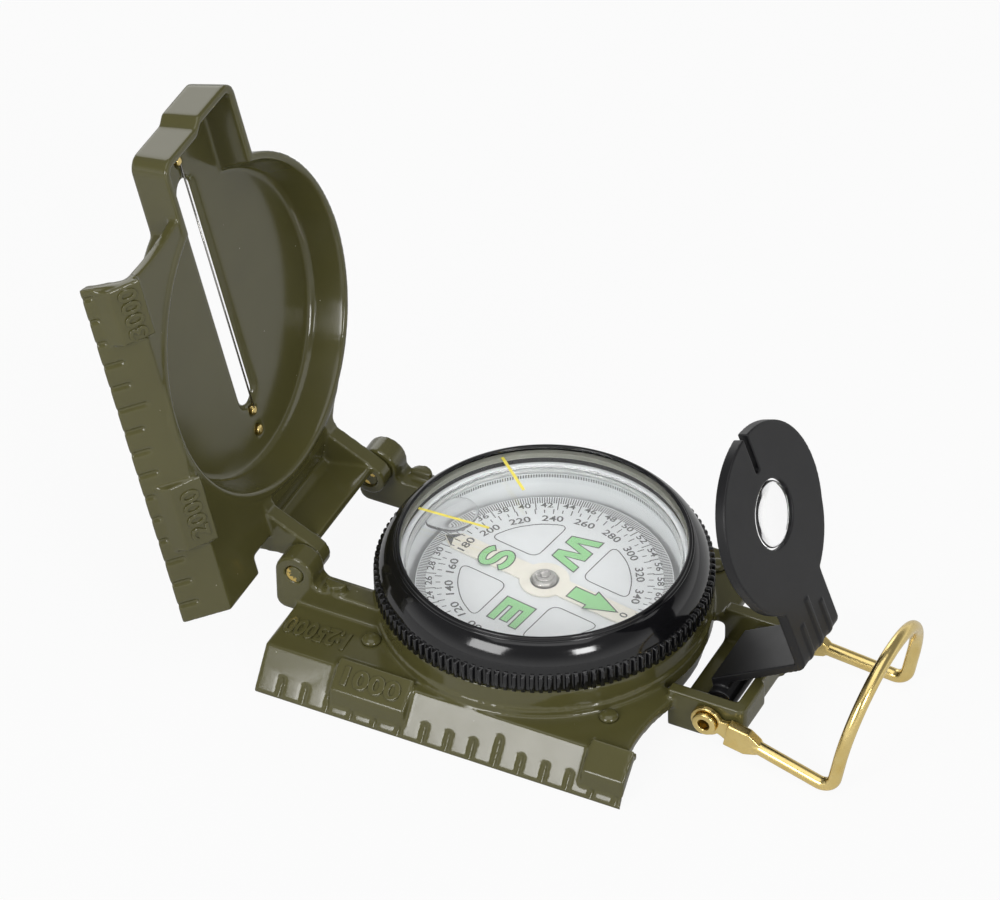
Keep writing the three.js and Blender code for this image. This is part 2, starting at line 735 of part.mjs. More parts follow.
// Eyepiece, drawn folded down with the axle at the origin: the plate lies level over the dial
function eyepieceFrame() {
  const low = plateOffset - plateThickness;
  const disc = rod(discRadius, low, plateOffset, fineRound).translate(0, discCentre, 0);
  const lean = radians(armLeanDeg);
  const armAt = (depth, height) => [(depth + height * Math.sin(lean)) / Math.cos(lean), height];
  const inside = barrelRadius + armThickness;
  const corner = armAt(barrelRadius, plateOffset)[0];
  const neck = corner + neckLength;
  const chin = rod(chinRadius, low, plateOffset, fineRound).translate(0, discCentre - chinOffset, 0);
  const foot = new THREE.Shape();
  foot.moveTo(-armHalf, corner + footBend);
  foot.lineTo(armHalf, corner + footBend);
  foot.lineTo(armHalf, neck);
  foot.quadraticCurveTo(armHalf, neck + footFillet, armHalf + footFillet, neck + 2 * footFillet);
  foot.lineTo(-armHalf - footFillet, neck + 2 * footFillet);
  foot.quadraticCurveTo(-armHalf, neck + footFillet, -armHalf, neck);
  const armSide = new THREE.Shape();
  armSide.moveTo(...armAt(barrelRadius, -armToe));
  armSide.lineTo(...armAt(inside, -armToe));
  armSide.lineTo(...armAt(inside, low));
  armSide.lineTo(corner + 2 * footBend, low);
  armSide.lineTo(corner + 2 * footBend, plateOffset);
  armSide.lineTo(corner + footBend, plateOffset);
  armSide.quadraticCurveTo(corner, plateOffset, ...armAt(barrelRadius, plateOffset - footBend));
  const web = outline([
    [0, -barrelRadius / 2], armAt(inside, -armToe), armAt(inside, barrelRadius), [0, barrelRadius / 2],
  ]);
  const ribs = ribLengths.map((length, i) => {
    const face = corner - ribProud;
    const crest = plateOffset + ribProud;
    const side = new THREE.Shape();
    side.moveTo(face, low);
    side.lineTo(corner + length, low);
    side.lineTo(corner + length, crest);
    side.lineTo(corner + footBend, crest);
    side.quadraticCurveTo(face, crest, face, plateOffset - footBend);
    const middle = (i - 1) * ribPitch;
    return alongX(side, middle - ribWidth / 2, middle + ribWidth / 2, smallRound / 4);
  });
  const whole = join(disc, chin, alongZ(foot, low, plateOffset, smallRound / 2),
    alongX(armSide, -armHalf, armHalf, smallRound / 2), alongX(web, -armHalf, armHalf),
    rodX(barrelRadius, -barrelHalf, barrelHalf), ...ribs);
  const hole = lensRadius + seatGap;
  return cut(whole,
    turned([
      [0, low - blend], [hole + lensFlare, low - blend], [hole + lensFlare, low],
      [hole, plateOffset - lensEdge], [hole, plateOffset + blend], [0, plateOffset + blend],
    ]).translate(0, discCentre, 0),
    block(-sightSlotWidth / 2, sightSlotWidth / 2, discCentre + sightSlotStart,
      discCentre + discRadius + blend, low - blend, plateOffset + blend),
    rodX(axleRadius + seatGap, -barrelHalf - blend, barrelHalf + blend));
}

function eyepieceLens() {
  const middle = plateOffset - lensCrown;
  const half = [];
  const steps = 4;
  for (let i = 0; i <= steps; i += 1) {
    const radius = lensRadius * i / steps;
    half.push([radius, lensEdge / 2 + (lensCrown - lensEdge / 2) * (1 - (i / steps) ** 2)]);
  }
  const profile = half.map(([r, h]) => [r, -h]).concat(half.reverse());
  return turned(profile, midRound).translate(0, discCentre, middle);
}

function eyepieceAxle() {
  const reach = bracketHalf - bracketWall / 2;
  return rodX(axleRadius, -reach, reach).translate(0, axleY, axleHeight);
}

// Thumb loop, drawn level with the axle at the origin: two arms, legs bent up, a round arch
const eyeX = bracketHalf + seatGap + eyeThickness / 2;

function loopPath() {
  const points = [];
  const arc = (from, to, count, place) => {
    for (let i = 0; i <= count; i += 1) points.push(place(from + (to - from) * i / count));
  };
  const paddleX = eyeX + paddleThickness / 2 - eyeThickness / 2;
  const armSteps = 3;
  arc(0, 1, armSteps, (t) => new THREE.Vector3(-paddleX + (paddleX - loopHalf) * t,
    -paddleEnd + blend + (paddleEnd - blend - loopReach + loopBend) * t, 0));
  arc(0.2, 1, 3, (t) => new THREE.Vector3(-loopHalf, -loopReach + loopBend * (1 - Math.sin(t * Math.PI / 2)),
    loopBend * (1 - Math.cos(t * Math.PI / 2))));
  points.push(new THREE.Vector3(-loopHalf, -loopReach, (loopBend + loopLeg) / 2));
  arc(Math.PI, Math.PI / 2, 6, (angle) => new THREE.Vector3(loopHalf * Math.cos(angle), -loopReach,
    loopLeg + loopHalf * Math.sin(angle)));
  const back = points.slice(0, -1).reverse().map((p) => new THREE.Vector3(-p.x, p.y, p.z));
  return new THREE.CatmullRomCurve3(points.concat(back), false, 'centripetal');
}

function thumbLoop() {
  const section = new THREE.Shape();
  section.absarc(0, 0, loopWire, 0, 2 * Math.PI, false);
  const wire = new THREE.ExtrudeGeometry(section,
    { steps: 60, curveSegments: 4, bevelEnabled: false, extrudePath: loopPath() });
  const eye = new THREE.Shape();
  eye.absarc(0, 0, eyeRadius, radians(-120), radians(120), false);
  eye.lineTo(-paddleStart - blend, paddleHalf);
  eye.lineTo(-paddleStart - blend, -paddleHalf);
  const bore = new THREE.Path();
  bore.absarc(0, 0, eyeletBarrel + seatGap, 0, 2 * Math.PI, true);
  eye.holes.push(bore);
  const paddle = outline([
    [-paddleStart, -paddleHalf], [-paddleStart, paddleHalf], [-paddleEnd + 2 * blend, paddleHalf],
    [-paddleEnd, loopWire], [-paddleEnd, -loopWire], [-paddleEnd + 2 * blend, -paddleHalf],
  ]);
  const inner = eyeX - eyeThickness / 2;
  const end = join(alongX(eye, inner, inner + eyeThickness, smallRound),
    alongX(paddle, inner, inner + paddleThickness));
  return join(wire, end, mirrored(end));
}

// Hollow eyelet through the loop's eye and the bracket wall
function loopEyelet() {
  const seat = eyeX + eyeThickness / 2 + seatGap;
  const inner = bracketHalf - bracketWall + thinGap;
  return turnedX([
    [eyeletBore, inner], [eyeletBarrel, inner], [eyeletBarrel, seat], [eyeletHead, seat],
    [eyeletHead, seat + eyeletHeadThickness / 2], [eyeletHead * 0.8, seat + eyeletHeadThickness],
    [eyeletBore, seat + eyeletHeadThickness], [eyeletBore, inner],
  ]).translate(0, axleY, axleHeight);
}

// Assembly
const compass = new THREE.Group();

function add(parent, name, geometry, finish) {
  const mesh = new THREE.Mesh(weld(geometry), new THREE.MeshStandardMaterial(finish));
  mesh.name = name;
  parent.add(mesh);
}

function turnedGroup(y, z, degrees) {
  const group = new THREE.Group();
  group.position.set(0, y, z);
  group.rotation.x = radians(degrees);
  compass.add(group);
  return group;
}

add(compass, 'base_body', baseBody(), olive);
rivetPlaces().forEach(([x, y], i) => {
  add(compass, `deck_rivet_${i + 1}`, deckRivet().translate(x, y, 0), olive);
});
add(compass, 'hinge_pin_right', hingePin(), brass);
add(compass, 'hinge_pin_left', mirrored(hingePin()), brass);

const cover = turnedGroup(hingeY, hingeHeight, 180 - coverOpenDeg);
add(cover, 'cover_shell', coverShell(), olive);
add(cover, 'sight_wire', sightWire(), steel);
add(cover, 'wire_anchor_upper', stud(anchorRadius, upperAnchor), brass);
add(cover, 'wire_anchor_lower', stud(anchorRadius, lowerAnchor), brass);
add(cover, 'sight_dot', stud(dotRadius, dotPlace), brass);

add(compass, 'bezel_ring', bezelRing(), blackPlastic);
add(compass, 'bezel_crystal', bezelCrystal(), clearPlastic);
add(compass, 'bezel_retainer', bezelRetainer(), whitePlastic);

add(compass, 'capsule_bowl', capsuleBowl(), whitePlastic);
add(compass, 'capsule_window', capsuleWindow(), clearPlastic);
add(compass, 'capsule_gasket', capsuleGasket(), rubber);
add(compass, 'pivot_post', pivotPost(), steel);

// The needle's arrow end points towards the eyepiece, to the right of the sighting line
const card = new THREE.Group();
card.rotation.z = radians(cardRestDeg);
compass.add(card);
add(card, 'compass_card', compassCard(), whitePlastic);
add(card, 'magnet_needle', magnetNeedle(), cream);
add(card, 'jewel_cup', jewelCup(), steel);

const eyepiece = turnedGroup(axleY, axleHeight, eyepieceRaisedDeg);
add(eyepiece, 'eyepiece_frame', eyepieceFrame(), blackPlastic);
add(eyepiece, 'eyepiece_lens', eyepieceLens(), clearPlastic);
add(compass, 'eyepiece_axle', eyepieceAxle(), steel);

const loop = turnedGroup(axleY, axleHeight, loopDropDeg);
add(loop, 'thumb_loop', thumbLoop(), brass);
add(compass, 'loop_eyelet_right', loopEyelet(), brass);
add(compass, 'loop_eyelet_left', mirrored(loopEyelet()), brass);

export default compass;
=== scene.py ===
"""Folding lensatic compass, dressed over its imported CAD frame."""

import math

import bmesh
import bpy
import numpy as np
from mathutils import Matrix, Vector
from mathutils.geometry import tessellate_polygon


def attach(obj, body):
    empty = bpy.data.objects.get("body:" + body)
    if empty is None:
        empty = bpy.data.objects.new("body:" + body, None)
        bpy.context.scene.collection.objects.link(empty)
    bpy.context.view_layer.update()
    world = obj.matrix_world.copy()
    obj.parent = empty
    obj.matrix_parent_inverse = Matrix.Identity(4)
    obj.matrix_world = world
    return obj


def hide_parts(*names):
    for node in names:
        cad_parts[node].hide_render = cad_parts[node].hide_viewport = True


bl_info = {
    "name": "Folding lensatic compass",
    "version": (1, 0, 0),
    "blender": (4, 5, 0),
    "location": "3D View > Sidebar > Compass",
    "description": "Builds a folding lensatic compass over its CAD frame",
    "category": "Object",
}

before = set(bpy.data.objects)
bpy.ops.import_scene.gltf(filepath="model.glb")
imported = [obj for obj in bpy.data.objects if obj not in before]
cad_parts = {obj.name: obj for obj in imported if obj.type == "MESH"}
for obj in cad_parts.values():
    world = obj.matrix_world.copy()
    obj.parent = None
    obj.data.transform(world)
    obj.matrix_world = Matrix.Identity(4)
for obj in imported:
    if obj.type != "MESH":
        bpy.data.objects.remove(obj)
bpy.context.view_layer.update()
MM = 0.001

# Points nearer to each other than this, in metres, count as one
TOUCHING = 1e-7


def linear(code):
    """An sRGB hex colour as linear red, green and blue."""
    parts = [int(code[i:i + 2], 16) / 255 for i in (1, 3, 5)]
    return tuple(p / 12.92 if p <= 0.04045 else ((p + 0.055) / 1.055) ** 2.4 for p in parts)


def length(title, meaning, millimetres):
    """A length that a user may change, given in millimetres."""
    return bpy.props.FloatProperty(
        name=title, description=meaning, default=millimetres * MM, unit="LENGTH", precision=5)


def turn(title, meaning, degrees):
    """An angle that a user may change, given in degrees."""
    return bpy.props.FloatProperty(
        name=title, description=meaning, default=math.radians(degrees), subtype="ANGLE")


def tint(title, meaning, code):
    """A colour that a user may change, given as an sRGB hex value."""
    return bpy.props.FloatVectorProperty(
        name=title, description=meaning, default=linear(code), subtype="COLOR", size=3, min=0, max=1)


class CompassSizes(bpy.types.PropertyGroup):
    """Sizes of the compass, in its rest pose"""

    hinge_y: length("Hinge", "Dial axis to cover hinge", 34.3)
    hinge_height: length("Hinge height", "Hinge above the map face", 11.65)
    axle_y: length("Axle", "Dial axis to the eyepiece axle", -32.5)
    axle_height: length("Axle height", "Axle above the map face", 4.95)
    cover_angle: turn("Cover", "Cover raised from lying open", 76.2)
    eyepiece_angle: turn("Eyepiece", "Eyepiece raised from the dial", 70)
    loop_angle: turn("Loop", "Thumb loop below level", 11)
    north: turn("North", "North end of the needle, from +X", -98.8)

    cast_grain: length("Casting grain", "Pitch of the castings' surface mesh", 0.26)
    moulded_grain: length("Moulding grain", "Pitch of the eyepiece's surface mesh", 0.17)
    wire_grain: length("Wire grain", "Pitch of the loop's surface mesh", 0.15)

    deck: length("Deck", "Top of the base's deck", 6.4)
    crest: length("Crest", "Dial axis to the top of the slanted edge", 26)
    pad_inset: length("Pad inset", "How far a pad reaches over the deck", 0.9)
    pad_reach: length("Pad reach", "How far a pad stands out from the crest", 3.2)
    pad_rise: length("Pad rise", "Pad's inner edge above the deck", 1.3)
    pad_fall: length("Pad fall", "Pad's outer edge below the deck", 2.05)
    emboss: length("Emboss", "Height of the cast figures", 0.2)
    rivet_x: length("Rivets across", "Rivet to the sighting line", 18.8)
    rivet_y: length("Rivets along", "Rivet to the dial axis", 19.8)
    rivet_radius: length("Rivet head", "Radius of a rivet head", 1.5)
    rivet_height: length("Rivet rise", "Height of a rivet head", 0.9)
    pin_radius: length("Hinge pin", "Radius of a hinge pin", 1.42)
    pin_inner: length("Pin inside", "Inner end of a hinge pin", 9.1)
    pin_outer: length("Pin outside", "Outer end of a hinge pin", 15.8)

    cover_floor: length("Cover floor", "Thickness of the cover's floor", 1.1)
    wire_low: length("Wire low", "Hinge to the wire's lower anchor", 18.2)
    wire_high: length("Wire high", "Hinge to the wire's upper anchor", 63.8)
    wire_radius: length("Wire", "Radius of the sight wire", 0.15)
    anchor_radius: length("Anchor", "Radius of a wire anchor", 0.7)
    dot_radius: length("Dot", "Radius of the brass dot", 0.8)
    dot_back: length("Dot place", "Brass dot behind the lower anchor", 3.6)

    bezel_low: length("Bezel low", "Underside of the bezel", 11.2)
    knurl_radius: length("Knurl", "Radius over the bezel's teeth", 25.7)
    knurl_top: length("Knurl top", "Top of the bezel's teeth", 14.25)
    tooth_depth: length("Tooth", "Depth of the bezel's teeth", 0.68)
    shoulder: length("Shoulder", "Radius of the bezel's shoulder", 25)
    rim_radius: length("Rim", "Inner radius of the bezel's rim", 21.65)
    rim_width: length("Rim width", "Width of the bezel's rim", 0.7)
    rim_top: length("Rim top", "Top of the bezel's rim", 19.05)
    rim_lip: length("Rim lip", "Thickness of the rim over the crystal", 0.4)
    bezel_bore: length("Bezel bore", "Bore round the base's collar", 24.2)
    lip_bore: length("Lip bore", "Bore of the snap lip", 23.6)
    crystal_radius: length("Crystal", "Radius of the crystal", 22.45)
    crystal_top: length("Crystal top", "Top of the crystal", 18.45)
    crystal_depth: length("Crystal depth", "Thickness of the crystal", 1)

    capsule_low: length("Capsule low", "Underside of the capsule", 1.8)
    capsule_top: length("Capsule top", "Top of the capsule", 15.4)
    capsule_radius: length("Capsule", "Radius of the capsule", 21.8)
    capsule_bore: length("Capsule bore", "Bore for the capsule's window", 21.1)
    capsule_inner: length("Capsule inside", "Inside of the capsule's wall", 20.6)
    window_depth: length("Window", "Thickness of the capsule's window", 1)
    bubble_depth: length("Bubble", "Depth of the air bubble", 0.8)
    card_radius: length("Card", "Radius of the dial card", 19.5)
    card_low: length("Card low", "Underside of the dial card", 9.45)
    card_depth: length("Card depth", "Thickness of the dial card", 0.4)
    needle_low: length("Needle low", "Underside of the needle", 9.95)
    needle_depth: length("Needle depth", "Thickness of the needle", 0.25)
    needle_half: length("Needle", "Half length of the needle", 18.4)
    needle_side: length("Needle width", "Half width of the needle", 1.8)
    hub_radius: length("Hub", "Radius of the needle's hub", 3.8)
    cup_radius: length("Cup", "Radius of the jewel cup", 2)
    cup_top: length("Cup top", "Top of the jewel cup", 11.4)
    ink: length("Ink", "Height of print over what carries it", 0.015)
    line: length("Line", "Width of the dial's printed lines", 0.17)

    disc_centre: length("Disc", "Axle to the lens along the eyepiece", 29.4)
    disc_radius: length("Disc radius", "Radius of the eyepiece's disc", 13.9)
    plate_top: length("Plate", "Axle to the eyepiece's rear face", 16.4)
    plate_depth: length("Plate depth", "Thickness of the eyepiece", 1.75)
    lens_radius: length("Lens", "Radius of the lens", 5)
    lens_crown: length("Lens crown", "Half thickness of the lens", 0.75)
    lens_edge: length("Lens edge", "Thickness of the lens at its edge", 0.8)
    axle_radius: length("Axle radius", "Radius of the eyepiece's axle", 0.65)
    axle_reach: length("Axle reach", "Half length of the eyepiece's axle", 10)

    loop_wire: length("Loop wire", "Radius of the thumb loop's wire", 1.05)
    loop_half: length("Loop half", "Half width of the thumb loop", 13.2)
    loop_reach: length("Loop reach", "Axle to the upright of the loop", 21.6)
    loop_bend: length("Loop bend", "Radius of the loop's elbows", 2.2)
    loop_leg: length("Loop leg", "Height of the loop's straight legs", 5.8)
    eye_x: length("Eye", "Inner face of the loop's eyes", 11.3)
    eye_radius: length("Eye radius", "Radius of the loop's eyes", 2.5)
    eye_bore: length("Eye bore", "Bore of the loop's eyes", 1.6)
    eye_depth: length("Eye depth", "Thickness of the loop's eyes", 0.9)
    paddle_near: length("Paddle near", "Start of the flattened wire", 3.6)
    paddle_far: length("Paddle far", "End of the flattened wire", 9)
    paddle_half: length("Paddle", "Half height of the flattened wire", 2.1)
    paddle_depth: length("Paddle depth", "Thickness of the flattened wire", 1.7)
    eyelet_bore: length("Eyelet bore", "Bore of an eyelet", 0.95)
    eyelet_barrel: length("Eyelet barrel", "Radius of an eyelet's barrel", 1.3)
    eyelet_head: length("Eyelet head", "Radius of an eyelet's head", 2)
    eyelet_inner: length("Eyelet inside", "Inner end of an eyelet", 9.2)
    eyelet_seat: length("Eyelet seat", "Under an eyelet's head", 12.5)
    eyelet_depth: length("Eyelet rise", "Thickness of an eyelet's head", 0.5)


class CompassColours(bpy.types.PropertyGroup):
    """Colours of the compass"""

    olive: tint("Olive", "Enamel of the castings", "#585531")
    olive_deep: tint("Deep olive", "Thick enamel in the corners", "#4B4829")
    dust: tint("Dust", "Specks lying on the enamel", "#B8B59F")
    black: tint("Black", "Moulded bezel", "#121214")
    black_grained: tint("Grained black", "Moulded eyepiece", "#131315")
    brass: tint("Brass", "Drawn brass", "#F4DF9E")
    brass_dull: tint("Dull brass", "Brass where it is handled", "#DFC172")
    steel: tint("Steel", "Turned and plated steel", "#ABA9A5")
    card: tint("Card", "Dial card and capsule", "#E2E6E7")
    cream: tint("Cream", "Painted needle", "#EEEADC")
    print_black: tint("Black ink", "Scales and figures", "#2E3030")
    print_green: tint("Green ink", "Letters and arrow", "#8CD488")
    print_yellow: tint("Yellow ink", "Lines on the crystal", "#EFE047")
    retainer: tint("Retainer", "Ring under the crystal", "#8A8B80")
    rubber: tint("Rubber", "Capsule gasket", "#C4C7C6")
    floor: tint("Floor", "Pale studio floor", "#C6C6C6")


def sizes():
    """The sizes as they are set in the scene."""
    return bpy.context.scene.compass_sizes


def colours():
    """The colours as they are set in the scene."""
    return bpy.context.scene.compass_colours


def add_node(tree, kind, inputs=None, **options):
    """Adds a node, sets its options, and sets or links its inputs."""
    node = tree.nodes.new(kind)
    for name, value in options.items():
        setattr(node, name, value)
    for name, value in (inputs or {}).items():
        if isinstance(value, bpy.types.NodeSocket):
            tree.links.new(value, node.inputs[name])
        else:
            node.inputs[name].default_value = value
    return node


def per_mm(width):
    """Texture scale for a pattern of this width in millimetres."""
    return 1 / (width * MM)


def blank(name):
    """A new material with an empty node tree."""
    made = bpy.data.materials.new(name)
    made.use_nodes = True
    made.node_tree.nodes.clear()
    return made


def started(name):
    """A new material, its node tree, and the place on the object that its patterns are laid by."""
    made = blank(name)
    tree = made.node_tree
    at = add_node(tree, "ShaderNodeTexCoord").outputs["Object"]
    return made, tree, at


def finish_with(made, inputs):
    """Puts a principled shader with these inputs on the material."""
    tree = made.node_tree
    shader = add_node(tree, "ShaderNodeBsdfPrincipled", inputs)
    add_node(tree, "ShaderNodeOutputMaterial", {"Surface": shader.outputs["BSDF"]})
    return made


def rgba(colour):
    """The colour with full opacity, as a colour socket takes it."""
    return (*colour, 1)


def olive_enamel():
    # Gloss enamel sprayed on die-cast zinc: bright edges, broad sheens, faint orange peel, a little dust
    made, tree, at = started("olive enamel, sprayed on die-cast zinc")
    cloud = add_node(tree, "ShaderNodeTexNoise", {"Vector": at, "Scale": per_mm(14), "Detail": 3})
    coat = add_node(tree, "ShaderNodeMix", {
        "Factor": cloud.outputs["Fac"], 6: rgba(colours().olive_deep), 7: rgba(colours().olive)},
        data_type="RGBA")
    # Real dust is under 0.05 mm; it is drawn at about 0.15 mm to show, a speck in each fourth 2.2 mm cell
    specks = add_node(tree, "ShaderNodeTexVoronoi", {"Vector": at, "Scale": per_mm(2.2)})
    near = add_node(tree, "ShaderNodeMath", {0: specks.outputs["Distance"], 1: 0.035}, operation="LESS_THAN")
    pick = add_node(tree, "ShaderNodeSeparateColor", {"Color": specks.outputs["Color"]})
    some = add_node(tree, "ShaderNodeMath", {0: pick.outputs["Red"], 1: 0.72}, operation="GREATER_THAN")
    both = add_node(tree, "ShaderNodeMath", {0: near.outputs[0], 1: some.outputs[0]}, operation="MULTIPLY")
    dusty = add_node(tree, "ShaderNodeMix", {
        "Factor": both.outputs[0], 6: coat.outputs[2], 7: rgba(colours().dust)}, data_type="RGBA")
    wear = add_node(tree, "ShaderNodeTexNoise", {"Vector": at, "Scale": per_mm(4), "Detail": 4})
    rough = add_node(tree, "ShaderNodeMapRange", {
        "Value": wear.outputs["Fac"], "To Min": 0.1, "To Max": 0.21})
    # Orange peel of sprayed enamel runs at about 0.7 mm
    peel = add_node(tree, "ShaderNodeTexNoise", {"Vector": at, "Scale": per_mm(0.7), "Detail": 2})
    bump = add_node(tree, "ShaderNodeBump", {
        "Height": peel.outputs["Fac"], "Strength": 0.16, "Distance": 0.02 * MM})
    return finish_with(made, {
        "Base Color": dusty.outputs[2], "Roughness": rough.outputs[0], "IOR": 1.5,
        "Coat Weight": 0.1, "Coat Roughness": 0.1, "Normal": bump.outputs[0]})


def worn_enamel():
    # Enamel rubbed through to the brass of a pin: patches of bright metal with ragged edges
    made, tree, at = started("olive enamel, worn to the brass")
    rub = add_node(tree, "ShaderNodeTexNoise", {"Vector": at, "Scale": per_mm(1.8), "Detail": 5})
    bare = add_node(tree, "ShaderNodeMath", {0: rub.outputs["Fac"], 1: 0.54}, operation="GREATER_THAN")
    tone = add_node(tree, "ShaderNodeMix", {
        "Factor": bare.outputs[0], 6: rgba(colours().olive), 7: rgba(colours().brass_dull)}, data_type="RGBA")
    rough = add_node(tree, "ShaderNodeMapRange", {
        "Value": rub.outputs["Fac"], "To Min": 0.2, "To Max": 0.4})
    return finish_with(made, {
        "Base Color": tone.outputs[2], "Metallic": bare.outputs[0], "Roughness": rough.outputs[0]})


def black_abs():
    # ABS from a polished mould: deep gloss with faint handling marks
    made, tree, at = started("black ABS, moulded and polished")
    marks = add_node(tree, "ShaderNodeTexNoise", {"Vector": at, "Scale": per_mm(1.6), "Detail": 5})
    rough = add_node(tree, "ShaderNodeMapRange", {
        "Value": marks.outputs["Fac"], "To Min": 0.06, "To Max": 0.14})
    # Flow ripple of the moulding, about 2.5 mm
    flow = add_node(tree, "ShaderNodeTexNoise", {"Vector": at, "Scale": per_mm(2.5), "Detail": 1})
    bump = add_node(tree, "ShaderNodeBump", {
        "Height": flow.outputs["Fac"], "Strength": 0.15, "Distance": 0.03 * MM})
    return finish_with(made, {
        "Base Color": rgba(colours().black), "Roughness": rough.outputs[0], "IOR": 1.53,
        "Normal": bump.outputs[0]})


def grained_abs():
    # ABS from a spark-eroded mould: satin, with a fine even grain that breaks up highlights
    made, tree, at = started("black ABS, moulded with a fine grain")
    # Mould grain is about 0.05 mm; it is drawn at 0.22 mm to show
    grain = add_node(tree, "ShaderNodeTexNoise", {"Vector": at, "Scale": per_mm(0.22), "Detail": 2})
    bump = add_node(tree, "ShaderNodeBump", {
        "Height": grain.outputs["Fac"], "Strength": 0.25, "Distance": 0.02 * MM})
    # Handling marks, about 5 mm; the grain shades itself, so its shine is under that of a polished face
    marks = add_node(tree, "ShaderNodeTexNoise", {"Vector": at, "Scale": per_mm(5), "Detail": 4})
    rough = add_node(tree, "ShaderNodeMapRange", {
        "Value": marks.outputs["Fac"], "To Min": 0.32, "To Max": 0.46})
    return finish_with(made, {
        "Base Color": rgba(colours().black_grained), "Roughness": rough.outputs[0], "IOR": 1.53,
        "Specular IOR Level": 0.35, "Normal": bump.outputs[0]})


def drawn_brass():
    # Drawn brass wire, bright from the die, duller where it is handled, with fine scratches
    made, tree, at = started("brass, drawn and tumbled")
    dull = add_node(tree, "ShaderNodeTexNoise", {"Vector": at, "Scale": per_mm(3), "Detail": 5})
    tone = add_node(tree, "ShaderNodeMix", {
        "Factor": dull.outputs["Fac"], 6: rgba(colours().brass_dull), 7: rgba(colours().brass)},
        data_type="RGBA")
    rough = add_node(tree, "ShaderNodeMapRange", {
        "Value": dull.outputs["Fac"], "To Min": 0.32, "To Max": 0.14})
    # Tumbling marks are about 0.1 mm; they are drawn at 0.35 mm to show
    marks = add_node(tree, "ShaderNodeTexNoise", {"Vector": at, "Scale": per_mm(0.35), "Detail": 3})
    bump = add_node(tree, "ShaderNodeBump", {
        "Height": marks.outputs["Fac"], "Strength": 0.2, "Distance": 0.015 * MM})
    return finish_with(made, {
        "Base Color": tone.outputs[2], "Metallic": 1, "Roughness": rough.outputs[0],
        "Normal": bump.outputs[0]})


def plated_steel():
    # Turned steel under nickel: bright, with fine marks that scatter its highlights a little
    made, tree, at = started("steel, turned and nickel plated")
    marks = add_node(tree, "ShaderNodeTexNoise", {"Vector": at, "Scale": per_mm(0.4), "Detail": 3})
    rough = add_node(tree, "ShaderNodeMapRange", {
        "Value": marks.outputs["Fac"], "To Min": 0.14, "To Max": 0.3})
    return finish_with(made, {
        "Base Color": rgba(colours().steel), "Metallic": 1, "Roughness": rough.outputs[0]})


def clear_acrylic():
    # Cast acrylic, polished: clear, with bright edges
    made = blank("acrylic, cast and polished")
    return finish_with(made, {
        "Base Color": (1, 1, 1, 1), "Roughness": 0.0, "IOR": 1.49, "Transmission Weight": 1})


def mineral_spirit():
    # Clear damping liquid: seen only as the bright edge of its air bubble and the shift of the dial there
    made = blank("mineral spirit, clear")
    return finish_with(made, {
        "Base Color": (1, 1, 1, 1), "Roughness": 0.0, "IOR": 1.36, "Transmission Weight": 1})


def white_polycarbonate():
    # Matt white polycarbonate, moulded: even and cool with a faint mottle; light creeps round its corners
    made, tree, at = started("white polycarbonate, moulded matt")
    mottle = add_node(tree, "ShaderNodeTexNoise", {"Vector": at, "Scale": per_mm(6), "Detail": 2})
    darker = [part * 0.94 for part in colours().card]
    shade = add_node(tree, "ShaderNodeMix", {
        "Factor": mottle.outputs["Fac"], 6: rgba(darker), 7: rgba(colours().card)}, data_type="RGBA")
    return finish_with(made, {
        "Base Color": shade.outputs[2], "Roughness": 0.5, "IOR": 1.58,
        "Subsurface Weight": 0.5, "Subsurface Radius": (1, 1, 1), "Subsurface Scale": 1.5 * MM})


def flat_paint(name, colour, grain, roughness):
    """A plain finish: an even colour with the faint mottle of its screen, brush or mould.

    The grain is the mottle's width in millimetres."""
    made, tree, at = started(name)
    mottle = add_node(tree, "ShaderNodeTexNoise", {"Vector": at, "Scale": per_mm(grain), "Detail": 2})
    darker = [part * 0.88 for part in colour]
    shade = add_node(tree, "ShaderNodeMix", {
        "Factor": mottle.outputs["Fac"], 6: rgba(darker), 7: rgba(colour)}, data_type="RGBA")
    return finish_with(made, {"Base Color": shade.outputs[2], "Roughness": roughness})


FINISHES = {
    "olive": olive_enamel,
    "worn": worn_enamel,
    "black": black_abs,
    "grained": grained_abs,
    "brass": drawn_brass,
    "steel": plated_steel,
    "clear": clear_acrylic,
    "liquid": mineral_spirit,
    "white": white_polycarbonate,
    # Screen inks lie flat and matt, with a soft mottle from the mesh
    "ink": lambda: flat_paint("black ink, screen printed", colours().print_black, 0.5, 0.6),
    "green": lambda: flat_paint("green luminous ink, screen printed", colours().print_green, 0.8, 0.65),
    "yellow": lambda: flat_paint("yellow ink, screen printed", colours().print_yellow, 0.4, 0.5),
    # Enamel brushed on the needle: a dull shine, slightly uneven
    "cream": lambda: flat_paint("cream enamel, brushed", colours().cream, 1.5, 0.45),
    # Polystyrene from a plain mould: an even grey with a soft shine
    "grey": lambda: flat_paint("grey polystyrene, moulded", colours().retainer, 2, 0.35),
    # Silicone rubber from a matt mould: pale, with no shine
    "rubber": lambda: flat_paint("silicone rubber, moulded", colours().rubber, 1, 0.7),
}


def finish(name):
    """The material of that finish, made once."""
    key = f"compass {name}"
    scene = bpy.context.scene
    if key not in scene:
        scene[key] = FINISHES[name]().name
    return bpy.data.materials[scene[key]]


def added(name, data):
    """A new object in the scene, with this mesh, lamp, camera or text."""
    made = bpy.data.objects.new(name, data)
    bpy.context.scene.collection.objects.link(made)
    return made


def piece(name, corners, faces, place=None):
    """A mesh object from corner points in metres."""
    mesh = bpy.data.meshes.new(name)
    mesh.from_pydata([tuple(c) for c in corners], [], faces)
    if place:
        mesh.transform(place)
    mesh.update()
    mesh.shade_smooth()
    return added(name, mesh)


